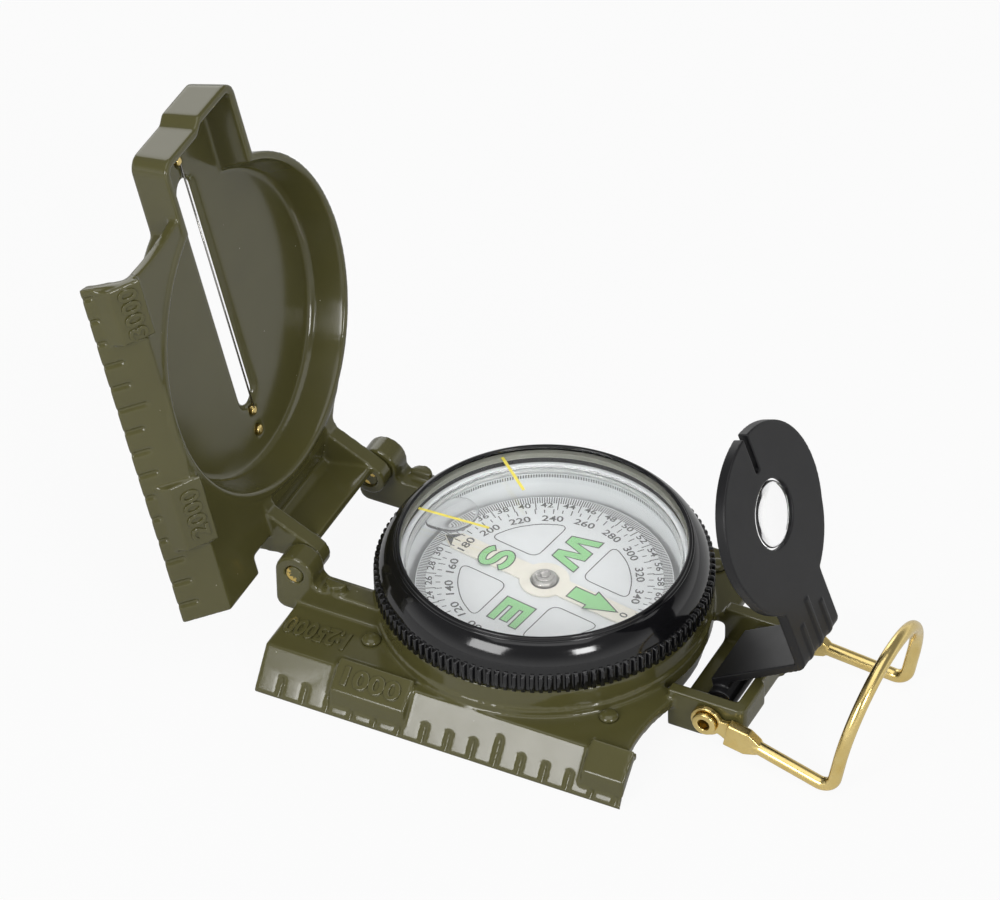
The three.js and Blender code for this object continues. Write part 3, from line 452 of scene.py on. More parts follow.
def dress(made, body, coat, slot, *nodes):
    """Paints a piece, puts it on its body and lets it stand for its CAD nodes."""
    made.data.materials.clear()
    made.data.materials.append(finish(coat))
    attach(made, body)
    if nodes:
        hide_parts(*nodes)


def rounded(points, radius, closed=True, steps=4):
    """An outline whose corners are eased over this length, with guard points that keep flats flat."""
    # How much of a side a corner's curve and its guard point may take up, and how far out the guard stands
    curve_share = 0.4
    guard_share = 0.48
    guard = radius * 1.5
    eased = []
    count = len(points)
    for i, point in enumerate(points):
        corner = Vector(point)
        if not closed and i in (0, count - 1):
            eased.append(corner)
            continue
        before = Vector(points[i - 1]) - corner
        after = Vector(points[(i + 1) % count]) - corner
        back = corner + before.normalized() * min(radius, before.length * curve_share)
        ahead = corner + after.normalized() * min(radius, after.length * curve_share)
        eased.append(corner + before.normalized() * min(guard, before.length * guard_share))
        for k in range(steps + 1):
            t = k / steps
            eased.append(back * (1 - t) ** 2 + corner * 2 * t * (1 - t) + ahead * t * t)
        eased.append(corner + after.normalized() * min(guard, after.length * guard_share))
    return [tuple(p) for p in eased]


def turned(name, profile, place=None, segments=128, teeth=None):
    """A turned piece; the profile is radius and height, closed if it does not start on the axis.

    Teeth are the angles round the turn, and a function that gives how far a row stands out at each."""
    angles, stand = teeth or ([2 * math.pi * k / segments for k in range(segments)], None)
    segments = len(angles)
    corners = []
    rows = []
    for i, (radius, height) in enumerate(profile):
        if radius < TOUCHING:
            rows.append([len(corners)] * segments)
            corners.append((0, 0, height))
            continue
        rows.append(list(range(len(corners), len(corners) + segments)))
        for k, angle in enumerate(angles):
            reach = radius + (stand(i, k) if stand else 0)
            corners.append((reach * math.cos(angle), reach * math.sin(angle), height))
    if profile[0][0] > TOUCHING:
        rows.append(rows[0])
    faces = []
    for low, high in zip(rows, rows[1:]):
        for k in range(segments):
            ahead = (k + 1) % segments
            face = list(dict.fromkeys((low[k], low[ahead], high[ahead], high[k])))
            if len(face) > 2:
                faces.append(face)
    return piece(name, corners, faces, place)


def applied(made):
    """The object's mesh with its modifiers worked in."""
    graph = bpy.context.evaluated_depsgraph_get()
    return bpy.data.meshes.new_from_object(made.evaluated_get(graph))


def softened(name, drawn, place, grain, passes, keep, walls=()):
    """A cast or moulded piece: closed meshes joined, edges rounded, facets of its walls made round.

    The work is done in millimetres. Passes round the edges off, and keep is the share of faces left.
    A wall is its centre along Y, its number of facets, and two (radius, height) ends."""
    scale = Matrix.Scale(1 / MM, 4)
    slack = 0.05
    drawn.transform(scale @ place.inverted())
    rough = added(name, drawn)
    skin = rough.modifiers.new("skin", "REMESH")
    skin.mode = "VOXEL"
    skin.voxel_size = grain / MM
    made_round = applied(rough)
    spots = np.empty(len(made_round.vertices) * 3)
    made_round.vertices.foreach_get("co", spots)
    spots = spots.reshape(-1, 3)
    for centre, facets, (near, low), (far, high) in walls:
        across = spots[:, 0]
        along = spots[:, 1] - centre / MM
        rise = np.clip((spots[:, 2] - low / MM) / ((high - low) / MM), 0, 1)
        reach = np.hypot(across, along)
        pitch = 2 * math.pi / facets
        inside = np.cos(pitch / 2) / np.cos(np.arctan2(along, across) % pitch - pitch / 2)
        wall = near / MM + rise * (far - near) / MM
        on_wall = np.abs(reach - wall * inside) < slack
        grow = np.where(on_wall, 1 / inside, 1)
        spots[:, 0] = across * grow
        spots[:, 1] = along * grow + centre / MM
    made_round.vertices.foreach_set("co", spots.ravel())
    rough.modifiers.clear()
    rough.data = made_round
    ease = rough.modifiers.new("ease", "SMOOTH")
    ease.factor = 0.5
    ease.iterations = passes
    thin = rough.modifiers.new("thin", "DECIMATE")
    thin.ratio = keep
    mesh = applied(rough)
    bpy.data.objects.remove(rough)
    mesh.transform(place @ scale.inverted())
    mesh.shade_smooth()
    mesh.name = name
    return added(name, mesh)


def solid_copy(node):
    """A welded copy of a CAD node's mesh, in the row frame."""
    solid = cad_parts[node]
    mesh = solid.data.copy()
    mesh.transform(solid.matrix_world)
    welded = bmesh.new()
    welded.from_mesh(mesh)
    bmesh.ops.remove_doubles(welded, verts=welded.verts, dist=TOUCHING)
    welded.to_mesh(mesh)
    welded.free()
    mesh.materials.clear()
    return mesh


def figures(name, items, rise=0.0, ease=0.0, weight=0.0):
    """Figures as one mesh: each item is text, height, width, place. They stand up by rise.

    Weight thickens their strokes, as a share of the type size."""
    corners = []
    faces = []
    for text, height, width, place in items:
        font = bpy.data.curves.new(name, "FONT")
        font.body = text
        font.align_x = "CENTER"
        font.align_y = "CENTER"
        font.resolution_u = 3
        font.offset = weight
        font.extrude = rise / 2 / height
        font.bevel_depth = ease / height
        drawn = added(name, font)
        mesh = applied(drawn)
        bpy.data.objects.remove(drawn)
        bpy.data.curves.remove(font)
        spots = np.array([v.co[:] for v in mesh.vertices])
        low = spots.min(axis=0)
        high = spots.max(axis=0)
        middle = (low + high) / 2
        grow = np.array([width / (high[0] - low[0]), height / (high[1] - low[1]), height])
        start = len(corners)
        corners.extend(place @ Vector((spot - middle) * grow) for spot in spots)
        faces.extend([start + v for v in face.vertices] for face in mesh.polygons)
        bpy.data.meshes.remove(mesh)
    return piece(name, corners, faces)


def bars(name, lines, height):
    """Printed lines as one flat mesh: each line is start, end and width; height gives its level."""
    corners = []
    faces = []
    for start, end, width in lines:
        start = Vector(start)
        end = Vector(end)
        side = (end - start).normalized().orthogonal() * width / 2
        level = height((start + end) / 2)
        first = len(corners)
        for spot in (start + side, start - side, end - side, end + side):
            corners.append((spot.x, spot.y, level))
        faces.append([first, first + 1, first + 2, first + 3])
    return piece(name, corners, faces)


def filled(name, outline, level):
    """A closed outline as a flat printed area that faces up."""
    faces = []
    for a, b, c in tessellate_polygon([[Vector((x, y, 0)) for x, y in outline]]):
        left = Vector(outline[b]) - Vector(outline[a])
        right = Vector(outline[c]) - Vector(outline[a])
        faces.append((a, b, c) if left.x * right.y > left.y * right.x else (a, c, b))
    return piece(name, [(x, y, level) for x, y in outline], faces)


def outline_strip(name, outlines, width, height):
    """Closed outlines as flat printed lines of this width; height gives each corner's level."""
    # Keeps the mitre of a sharp corner short
    bluntest = 0.4
    corners = []
    faces = []
    for outline in outlines:
        first = len(corners)
        count = len(outline)
        for i, spot in enumerate(outline):
            into = (Vector(spot) - Vector(outline[i - 1])).normalized()
            away = (Vector(outline[(i + 1) % count]) - Vector(spot)).normalized()
            ahead = (into + away).normalized()
            side = Vector((-ahead.y, ahead.x)) * width / 2 / max(bluntest, ahead.dot(away))
            for edge in (Vector(spot) + side, Vector(spot) - side):
                corners.append((edge.x, edge.y, height(Vector(spot))))
        for i in range(count):
            here = first + 2 * i
            ahead = first + 2 * ((i + 1) % count)
            faces.append([here, here + 1, ahead + 1, ahead])
    return piece(name, corners, faces)


def cover_place():
    """Place of the cover, raised about its hinge."""
    size = sizes()
    lift = Matrix.Rotation(size.cover_angle, 4, "X")
    return Matrix.Translation((0, size.hinge_y, size.hinge_height)) @ lift


def axle_place(angle):
    """Place of a piece that is turned by this angle about the eyepiece's axle."""
    size = sizes()
    return Matrix.Translation((0, size.axle_y, size.axle_height)) @ Matrix.Rotation(angle, 4, "X")


# Both ends of each raised pad on the slanted edges, along Y in millimetres
BASE_PADS = ((9.2, 21.7), (-27.1, -20.1))
COVER_PADS = ((13.4, 25), (50.9, 60.6))


def pad_face(span, reading):
    """Place of the middle of a pad's sloping face, for figures that read towards +Y or -Y."""
    size = sizes()
    along = sum(span) / 2 * MM
    slope = Vector((size.pad_inset + size.pad_reach, 0, size.pad_rise + size.pad_fall)).normalized()
    up = -slope * reading
    ahead = Vector((0, reading, 0))
    out = ahead.cross(up)
    middle = Vector((-size.crest + (size.pad_inset - size.pad_reach) / 2, along,
                     size.deck + (size.pad_rise - size.pad_fall) / 2))
    return Matrix.Translation(middle) @ Matrix((ahead, up, out)).transposed().to_4x4()


def skinned(drawn, rows):
    """Faces between rows of corners, and over the ends unless the last row is the first one again."""
    skin = []
    for low, high in zip(rows, rows[1:]):
        for k in range(len(low)):
            ahead = (k + 1) % len(low)
            skin.append(drawn.faces.new((low[k], low[ahead], high[ahead], high[k])))
    if rows[0] is not rows[-1]:
        skin.extend([drawn.faces.new(rows[0]), drawn.faces.new(rows[-1])])
    return skin


def add_pads(mesh, spans, place):
    """Joins the raised pads of a slanted edge to its casting."""
    size = sizes()
    # The outline starts inside the deck and ends at the foot of the slanted edge
    buried = -0.6 * MM
    foot = (-3.37 * MM, -4.6 * MM)
    heel = (-3.1 * MM, -4.75 * MM)
    outline = [(size.pad_inset, buried), (size.pad_inset, size.pad_rise),
               (-size.pad_reach, -size.pad_fall), foot, heel]
    drawn = bmesh.new()
    drawn.from_mesh(mesh)
    for span in spans:
        rows = []
        for along in span:
            spots = [Vector((x - size.crest, along * MM, z + size.deck)) for x, z in outline]
            rows.append([drawn.verts.new(place @ spot) for spot in spots])
        bmesh.ops.recalc_face_normals(drawn, faces=skinned(drawn, rows))
    drawn.to_mesh(mesh)
    drawn.free()
    return mesh


def along_x(y, z):
    """Place of a turned piece whose axis lies across the compass."""
    return Matrix.Translation((0, y, z)) @ Matrix.Rotation(math.pi / 2, 4, "Y")


def mirrored(made, name):
    """The same piece on the other side."""
    mesh = made.data.copy()
    mesh.transform(Matrix.Scale(-1, 4, (1, 0, 0)))
    mesh.flip_normals()
    mesh.name = name
    return added(name, mesh)


# Facets of the CAD's large round walls
FACETS = 64

# Round walls of the base's bowl, from its foot up: radius, low end and high end, in millimetres
BOWL_WALLS = ((24.4, 1, 4.8), (25.6, 4.8, 7.6), (25.2, 7.6, 11))

# Round walls of the cover's dish, outside and inside: radius and height over the map face at both ends,
# in millimetres
DISH_WALLS = (((25.7, 0.7), (26.4, 6.65)), ((23.8, 1.6), (25.2, 6.65)))

# Height of the ruler's numbers on the pads
PAD_FIGURE = 3.1 * MM


class COMPASS_OT_base_casting(bpy.types.Operator):
    """Base casting with its bowl, deck, straight edge, prongs and bracket"""

    bl_idname = "compass.base_casting"
    bl_label = "Base casting"

    def execute(self, context):
        size = sizes()
        walls = [(0, FACETS, (radius * MM, low * MM), (radius * MM, high * MM))
                 for radius, low, high in BOWL_WALLS]
        drawn = add_pads(solid_copy("base_body"), BASE_PADS, Matrix())
        made = softened("base_casting", drawn, Matrix(), size.cast_grain,
                        passes=7, keep=0.3, walls=walls)
        dress(made, "base", "olive", "olive_paint", "base_body")
        width = 9.6 * MM
        number = ("1000", PAD_FIGURE, width, pad_face(BASE_PADS[0], -1))
        ratio_height = 3.9 * MM
        ratio_width = 10.4 * MM
        corner = Matrix.Translation((-20.9 * MM, 27.9 * MM, size.deck))
        ratio = ("1:25000", ratio_height, ratio_width, corner @ Matrix.Rotation(math.pi / 2, 4, "Z"))
        # Half of their height is in the casting
        cast = figures("deck_figures", [number, ratio], rise=size.emboss * 2.4, ease=0.1 * MM, weight=0.01)
        dress(cast, "base", "olive", "olive_paint")
        return {"FINISHED"}


class COMPASS_OT_deck_rivets(bpy.types.Operator):
    """Four domed rivets in the corners of the deck"""

    bl_idname = "compass.deck_rivets"
    bl_label = "Deck rivets"

    def execute(self, context):
        size = sizes()
        # The head sits just clear of the deck, so that no two faces lie in one plane
        seat = size.deck + 0.02 * MM
        shank = size.deck - 1.6 * MM
        barrel = 0.8 * MM
        brim = 0.15 * MM
        fullness = 0.8
        dome = [(0, shank), (barrel, shank), (barrel, seat), (size.rivet_radius, seat)]
        steps = 8
        for k in range(1, steps + 1):
            angle = math.pi / 2 * k / steps
            dome.append((size.rivet_radius * math.cos(angle) ** fullness if k < steps else 0,
                         seat + brim + (size.rivet_height - brim) * math.sin(angle)))
        spots = [(-1, 1), (-1, -1), (1, -1), (1, 1)]
        for i, (across, along) in enumerate(spots, start=1):
            place = Matrix.Translation((across * size.rivet_x, along * size.rivet_y, 0))
            made = turned(f"rivet_{i}", dome, place, segments=48)
            dress(made, "base", "olive", "olive_paint", f"deck_rivet_{i}")
        return {"FINISHED"}


class COMPASS_OT_hinge_pins(bpy.types.Operator):
    """Two brass pins through ears and lugs"""

    bl_idname = "compass.hinge_pins"
    bl_label = "Hinge pins"

    def execute(self, context):
        size = sizes()
        outline = rounded([(0, size.pin_inner), (size.pin_radius, size.pin_inner),
                           (size.pin_radius, size.pin_outer), (0, size.pin_outer)],
                          radius=0.3 * MM, closed=False)
        right = turned("pin_right", outline, along_x(size.hinge_y, size.hinge_height), segments=48)
        left = mirrored(right, "pin_left")
        dress(right, "hinge_pins", "worn", "brass", "hinge_pin_right")
        dress(left, "hinge_pins", "worn", "brass", "hinge_pin_left")
        return {"FINISHED"}


class COMPASS_OT_cover_casting(bpy.types.Operator):
    """Cover casting with its dish, box, straight edge, lugs and lip"""

    bl_idname = "compass.cover_casting"
    bl_label = "Cover casting"

    def execute(self, context):
        size = sizes()
        face = -size.hinge_height
        walls = []
        for ends in DISH_WALLS:
            low, high = [(radius * MM, face + height * MM) for radius, height in ends]
            walls.append((size.hinge_y, FACETS, low, high))
        flange = cover_place() @ Matrix.Translation((0, 0, face))
        drawn = add_pads(solid_copy("cover_shell"), COVER_PADS, flange)
        made = softened("cover_casting", drawn, cover_place(), size.cast_grain,
                        passes=7, keep=0.3, walls=walls)
        dress(made, "cover", "olive", "olive_paint", "cover_shell")
        width = 8.6 * MM
        items = [(text, PAD_FIGURE, width, flange @ pad_face(span, 1))
                 for text, span in zip(("2000", "3000"), COVER_PADS)]
        # Half of their height is in the casting
        cast = figures("cover_figures", items, rise=size.emboss * 2, ease=0.08 * MM)
        dress(cast, "cover", "olive", "olive_paint")
        return {"FINISHED"}


class COMPASS_OT_sight_wire(bpy.types.Operator):
    """Sight wire with its brass anchors and the brass dot below it"""

    bl_idname = "compass.sight_wire"
    bl_label = "Sight wire"

    def execute(self, context):
        size = sizes()
        floor = size.cover_floor - size.hinge_height
        held = size.anchor_radius * 0.6
        low = size.wire_low + held
        high = size.wire_high - held
        outline = [(0, low), (size.wire_radius, low), (size.wire_radius, high), (0, high)]
        lift = 0.25 * MM
        lay = Matrix.Translation((0, 0, floor + lift)) @ Matrix.Rotation(-math.pi / 2, 4, "X")
        wire = turned("sighting_wire", outline, cover_place() @ lay, segments=16)
        dress(wire, "cover", "steel", "steel", "sight_wire")
        sunk = floor - 0.5 * MM
        brim = floor + 0.28 * MM
        crown = floor + 0.4 * MM
        studs = [("anchor_high", size.wire_high, size.anchor_radius, "wire_anchor_upper"),
                 ("anchor_low", size.wire_low, size.anchor_radius, "wire_anchor_lower"),
                 ("dot", size.wire_low - size.dot_back, size.dot_radius, "sight_dot")]
        for name, along, radius, node in studs:
            head = rounded([(0, sunk), (radius, sunk), (radius, brim), (radius * 0.6, crown), (0, crown)],
                           radius=0.15 * MM, closed=False)
            place = cover_place() @ Matrix.Translation((0, along, 0))
            dress(turned(name, head, place, segments=32), "cover", "brass", "brass", node)
        return {"FINISHED"}


class COMPASS_OT_bezel(bpy.types.Operator):
    """Knurled bezel with its crystal, retaining ring and yellow lines"""

    bl_idname = "compass.bezel"
    bl_label = "Bezel"

    def execute(self, context):
        size = sizes()
        self.ring(size)
        self.crystal(size)
        return {"FINISHED"}

    def ring(self, size):
        """The toothed ring: its rows are radius, height, and how far the teeth stand out there."""
        root = size.knurl_radius - size.tooth_depth
        # A tooth's ends are eased: share of its height, and of its depth there
        rows = []
        for share, depth in ((0, 0), (0.015, 0.85), (0.05, 1), (0.95, 1), (0.985, 0.85), (1, 0)):
            rows.append((root, size.bezel_low + share * (size.knurl_top - size.bezel_low), depth))
        # The domed shoulder is a little flatter than a quarter of an ellipse
        outer = size.rim_radius + size.rim_width
        crest = size.rim_top - 0.5 * MM
        step = 0.02 * MM
        steps = 24
        for k in range(steps + 1):
            angle = math.pi / 2 * k / steps
            rows.append((outer + (size.shoulder - outer) * math.cos(angle) ** 1.5,
                         size.knurl_top + step + (crest - size.knurl_top) * math.sin(angle) ** 1.25, 0))
        seat = size.crystal_radius + 0.2 * MM
        chest = 14.1 * MM
        under_rim = size.rim_top - size.rim_lip
        snap = size.bezel_low + 1.1 * MM
        inner = rounded([rows[-1][:2], (outer - 0.1 * MM, size.rim_top), (size.rim_radius, size.rim_top),
                         (size.rim_radius, under_rim), (seat, under_rim), (seat, chest),
                         (size.bezel_bore, chest), (size.bezel_bore, snap), (size.lip_bore, snap),
                         (size.lip_bore, size.bezel_low), rows[0][:2]], radius=0.25 * MM, closed=False)
        rows.extend((radius, height, 0) for radius, height in inner[1:-1])
        # A tooth from side to side: share of the pitch, and of its depth there
        count = 120
        tooth = ((0, 0), (0.04, 0.1), (0.1, 0.88), (0.14, 1), (0.5, 1), (0.54, 0.88), (0.6, 0.1), (0.64, 0))
        angles = [2 * math.pi * (k + part) / count for k in range(count) for part, depth in tooth]

        def stand(row, k):
            return size.tooth_depth * rows[row][2] * tooth[k % len(tooth)][1]

        ring = turned("bezel_knurled", [row[:2] for row in rows], teeth=(angles, stand))
        dress(ring, "bezel", "black", "black_plastic", "bezel_ring")

    def crystal(self, size):
        """The crystal, the ring that holds it, and the yellow lines under it."""
        edge = size.crystal_radius
        low = size.crystal_top - size.crystal_depth
        disc = rounded([(0, low), (edge, low), (edge, size.crystal_top), (0, size.crystal_top)],
                       radius=0.12 * MM, closed=False)
        crystal = turned("crystal", disc, segments=192)
        crystal.visible_shadow = False
        dress(crystal, "bezel", "clear", "clear_plastic", "bezel_crystal")
        top = low - 0.2 * MM
        width = 0.9 * MM
        band = rounded([(edge - width, top - width), (edge, top - width), (edge, top), (edge - width, top)],
                       radius=0.1 * MM)
        dress(turned("retainer", band, segments=192), "bezel", "grey", "grey_plastic", "bezel_retainer")
        level = low - size.ink
        broad = 0.5 * MM
        lines = [((15.6 * MM, 14.75 * MM, 0), (10.15 * MM, 8.4 * MM, 0), broad),
                 ((-0.4 * MM, 20.9 * MM, 0), (0.1 * MM, 9.25 * MM, 0), broad)]
        marks = bars("crystal_lines", lines, lambda spot: level)
        dress(marks, "bezel", "yellow", "clear_plastic")


# Outline of the air bubble in the capsule, in millimetres
BUBBLE = [(-0.6, 20.2), (-0.3, 15.2), (2.6, 13.4), (5.9, 13.6), (7.9, 16), (7.2, 18.9), (3.6, 20.1)]

# Ticks of the mil scale, one for every 20 of its 6400 mils
MIL_TICKS = 320


class COMPASS_OT_capsule(bpy.types.Operator):
    """Capsule with its window, gasket, air bubble and pivot post, and painted reflection of the dial's ticks
    on its wall
    """

    bl_idname = "compass.capsule"
    bl_label = "Capsule"

    def execute(self, context):
        size = sizes()
        pane = size.capsule_top - size.window_depth
        ledge = pane - 0.9 * MM
        floor = size.capsule_low + 1 * MM
        cup = rounded([(0, size.capsule_low), (size.capsule_radius, size.capsule_low),
                       (size.capsule_radius, size.capsule_top), (size.capsule_bore, size.capsule_top),
                       (size.capsule_bore, ledge), (size.capsule_inner, ledge), (size.capsule_inner, floor),
                       (0, floor)], radius=0.15 * MM, closed=False)
        dress(turned("capsule_cup", cup, segments=192), "base", "white", "white_plastic", "capsule_bowl")
        edge = size.capsule_bore - 0.2 * MM
        disc = rounded([(0, pane), (edge, pane), (edge, size.capsule_top), (0, size.capsule_top)],
                       radius=0.12 * MM, closed=False)
        window = turned("window_pane", disc, segments=192)
        window.visible_shadow = False
        dress(window, "base", "clear", "clear_plastic", "capsule_window")
        middle = (size.capsule_inner + size.capsule_bore) / 2 - 0.1 * MM
        height = pane - 0.45 * MM
        bead = 0.25 * MM
        sides = 12
        turns = [2 * math.pi * k / sides for k in range(sides)]
        circle = [(middle + bead * math.cos(angle), height + bead * math.sin(angle)) for angle in turns]
        dress(turned("gasket", circle, segments=128), "base", "rubber", "rubber", "capsule_gasket")
        self.wall_ticks(size)
        self.bubble(size)
        foot = floor + 0.2 * MM
        stem = 1.1 * MM
        tip = size.card_low + size.card_depth + size.needle_depth
        point = 3 * MM
        post = [(0, foot), (2 * stem, foot), (2 * stem, foot + 1 * MM), (stem, foot + 2 * MM),
                (stem, tip - point), (0, tip)]
        dress(turned("pivot", post, segments=48), "base", "steel", "steel", "pivot_post")
        return {"FINISHED"}

    def bubble(self, size):
        """Air bubble under the window, flat on top with a rounded edge."""
        film = 0.05 * MM
        top = size.capsule_top - size.window_depth - film
        edge = [Vector((x * MM, y * MM)) for x, y in rounded(BUBBLE, radius=1.6, steps=8)]
        middle = sum(edge, Vector((0, 0))) / len(edge)
        around = len(edge)
        steps = 12
        corners = []
        for k in range(2 * steps - 1):
            # From the middle of the top, round the edge, to the middle of the underside
            angle = math.pi / 2 - math.pi * (k + 0.5) / (2 * steps - 1)
            # The powers make its top and underside broad and its edge tight
            share = math.cos(angle) ** 0.25
            rise = (1 + math.copysign(abs(math.sin(angle)) ** 0.6, angle)) / 2
            for spot in edge:
                at = middle + (spot - middle) * share
                corners.append((at.x, at.y, top - size.bubble_depth * (1 - rise)))
        rows = len(corners) // around
        faces = [list(range(around)), [rows * around - 1 - i for i in range(around)]]
        for k in range(rows - 1):
            for i in range(around):
                ahead = (i + 1) % around
                here = k * around
                faces.append([here + i, here + around + i, here + around + ahead, here + ahead])
        made = piece("air_bubble", corners, faces)
        made.visible_shadow = False
        dress(made, "base", "liquid", "clear_plastic")

    def wall_ticks(self, size):
        """Painted reflection: a second ring of dark ticks round the capsule's wall, where the wall mirrors
        the dial's mil ticks.
        """
        reach = size.capsule_inner - size.ink
        low = 12.8 * MM
        high = 13.4 * MM
        corners = []
        faces = []
        for k in range(MIL_TICKS):
            out = bearing(k * 360 / MIL_TICKS, reach)
            side = Vector((-out.y, out.x, 0)).normalized() * size.line / 2
            left = out + side
            right = out - side
            for spot, height in ((left, low), (right, low), (right, high), (left, high)):
                corners.append((spot.x, spot.y, height))
            faces.append([4 * k, 4 * k + 1, 4 * k + 2, 4 * k + 3])
        # Painted reflection of the dial's ticks, drawn in ink on the wall
        dress(piece("wall_ticks", corners, faces), "base", "ink", "white_plastic")


def dial_level(spot):
    """Height of print at this place: on the needle's bar or on the card."""
    size = sizes()
    north = Vector((math.cos(size.north), math.sin(size.north)))
    along = spot.x * north.x + spot.y * north.y
    across = spot.x * -north.y + spot.y * north.x
    on_bar = abs(across) < size.needle_side and abs(along) < size.needle_half - size.needle_side
    top = size.needle_low + size.needle_depth if on_bar else size.card_low + size.card_depth
    return top + size.ink


def bearing(degrees, radius):
    """The point at this bearing from the needle's north, on the card."""
    angle = sizes().north - math.radians(degrees)
    return Vector((radius * math.cos(angle), radius * math.sin(angle), 0))


def on_card(degrees, reach, east, north):
    """A point of a shape drawn upright to north, its middle at this bearing and reach."""
    spot = bearing(degrees, reach) + bearing(90, east) + bearing(0, north)
    return spot.x, spot.y


# Block letters and arrow in millimetres about their middles, upright to north
LETTER_E = [(-2.75, -2.62), (2.75, -2.62), (2.75, -1.28), (-1.15, -1.28), (-1.15, -0.67), (2.2, -0.67),
            (2.2, 0.67), (-1.15, 0.67), (-1.15, 1.28), (2.75, 1.28), (2.75, 2.62), (-2.75, 2.62)]
LETTER_W = [(-4.03, 2.45), (-2.65, 2.45), (-1.75, -0.75), (-1.05, 2.45), (1.05, 2.45), (1.75, -0.75),
            (2.65, 2.45), (4.03, 2.45), (2.65, -2.45), (0.95, -2.45), (0, 0.9), (-0.95, -2.45),
            (-2.65, -2.45)]
ARROW = [(0, 4.2), (2.2, -0.68), (1.3, -0.68), (1.3, -4.2), (-1.3, -4.2), (-1.3, -0.68), (-2.2, -0.68)]


def letter_s():
    """An S drawn as one broad stroke along two arcs, in millimetres about its middle."""
    wide = 1.85
    tall = 1.05
    half = 0.6
    start = 20
    sweep = 250
    steps = 16
    turns = [(start + sweep * k / steps, tall) for k in range(steps)]
    turns += [(90 - sweep * k / steps, -tall) for k in range(steps + 1)]
    spine = [Vector((wide * math.cos(math.radians(angle)), middle + tall * math.sin(math.radians(angle))))
             for angle, middle in turns]
    sides = ([], [])
    for i, spot in enumerate(spine):
        ahead = (spine[min(i + 1, len(spine) - 1)] - spine[max(i - 1, 0)]).normalized()
        across = Vector((-ahead.y, ahead.x)) * half
        sides[0].append(tuple(spot + across))
        sides[1].append(tuple(spot - across))
    return sides[0] + sides[1][::-1]


class COMPASS_OT_dial_card(bpy.types.Operator):
    """Dial card with its mil and degree scales, windows, letters and arrow"""

    bl_idname = "compass.dial_card"
    bl_label = "Dial card"

    def execute(self, context):
        size = sizes()
        low = size.card_low
        top = low + size.card_depth
        hole = size.cup_radius + 0.3 * MM
        plate = rounded([(hole, low), (size.card_radius, low), (size.card_radius, top), (hole, top)],
                        radius=0.08 * MM)
        dress(turned("card_plate", plate, segments=192), "card", "white", "white_plastic", "compass_card")
        self.scales(size)
        self.windows(size)
        self.letters(size)
        return {"FINISHED"}

    def scales(self, size):
        """Mil scale at the edge, with a tick for every 20 mils, and degree scale, one for every 5 degrees."""
        edge = size.card_radius - 0.15 * MM
        long_tick = 2.9 * MM
        short_tick = 1.4 * MM
        lines = []
        for k in range(MIL_TICKS):
            degrees = k * 360 / MIL_TICKS
            inner = edge - (long_tick if k % 10 == 5 else short_tick)
            lines.append((bearing(degrees, edge), bearing(degrees, inner), size.line))
        # Ends of the degree scale's ticks: those for 10 degrees, and the shorter ones between them
        tens = (16.6 * MM, 15.5 * MM)
        fives = (16.4 * MM, 15.7 * MM)
        for degrees in range(0, 360, 5):
            reach, inner = fives if degrees % 10 else tens
            lines.append((bearing(degrees, reach), bearing(degrees, inner), size.line))
        dress(bars("dial_ticks", lines, dial_level), "card", "ink", "white_plastic")
        # The mil scale's figures are hundreds of mils, 64 to the turn
        hundreds = 64
        items = []
        for label in range(2, hundreds + 1, 2):
            degrees = label * 360 / hundreds
            items.append(self.number(str(label), degrees, 17.5 * MM, height=1.1 * MM, pitch=1.05 * MM))
        for label in range(0, 360, 20):
            items.append(self.number(str(label), label, 14.4 * MM, height=1.3 * MM, pitch=1.15 * MM))
        dress(figures("dial_figures", items, weight=0.015), "card", "ink", "white_plastic")

    def number(self, text, degrees, radius, height, pitch):
        """A number standing outward at this bearing; the pitch is from one figure to the next."""
        gap = 0.15
        spot = bearing(degrees, radius)
        spot.z = dial_level(spot)
        face = Matrix.Rotation(sizes().north - math.radians(degrees) - math.pi / 2, 4, "Z")
        return text, height, pitch * (len(text) - gap), Matrix.Translation(spot) @ face

    def windows(self, size):
        """Rounded outlines in the quarters between the letters, worked out in millimetres."""
        reach = 13.2
        side = 3.7
        foot = 4.2
        turns = [math.acos(side / reach), math.asin(foot / reach)]
        steps = 3
        rough = [(side, foot)]
        for k in range(steps + 1):
            angle = turns[0] + (turns[1] - turns[0]) * k / steps
            rough.append((reach * math.cos(angle), reach * math.sin(angle)))
        smooth = rounded(rough, radius=1.65, steps=8)
        outlines = [[on_card(0, 0, u * MM * a, v * MM * b) for u, v in smooth]
                    for a in (1, -1) for b in (1, -1)]
        dress(outline_strip("dial_windows", outlines, size.line, dial_level), "card", "ink", "white_plastic")

    def letters(self, size):
        """Block letters and the arrow: green areas with a thin dark outline."""
        card = size.card_low + size.card_depth + size.ink
        bar = size.needle_low + size.needle_depth + size.ink
        width = 0.2 * MM
        # Each shape's bearing, its reach from the middle in millimetres, and its level
        for name, shape, degrees, reach, level in (
                ("east", LETTER_E, 90, 8.68, card), ("west", LETTER_W, 270, 8.12, card),
                ("south", letter_s(), 180, 8.8, bar), ("arrow", ARROW, 0, 9.07, bar)):
            outline = [on_card(degrees, reach * MM, u * MM, v * MM) for u, v in shape]
            dress(filled(f"dial_{name}", outline, level), "card", "green", "white_plastic")
            edge = outline_strip(f"dial_{name}_edge", [outline], width,
                                 lambda spot, level=level: level + size.ink)
            dress(edge, "card", "ink", "white_plastic")


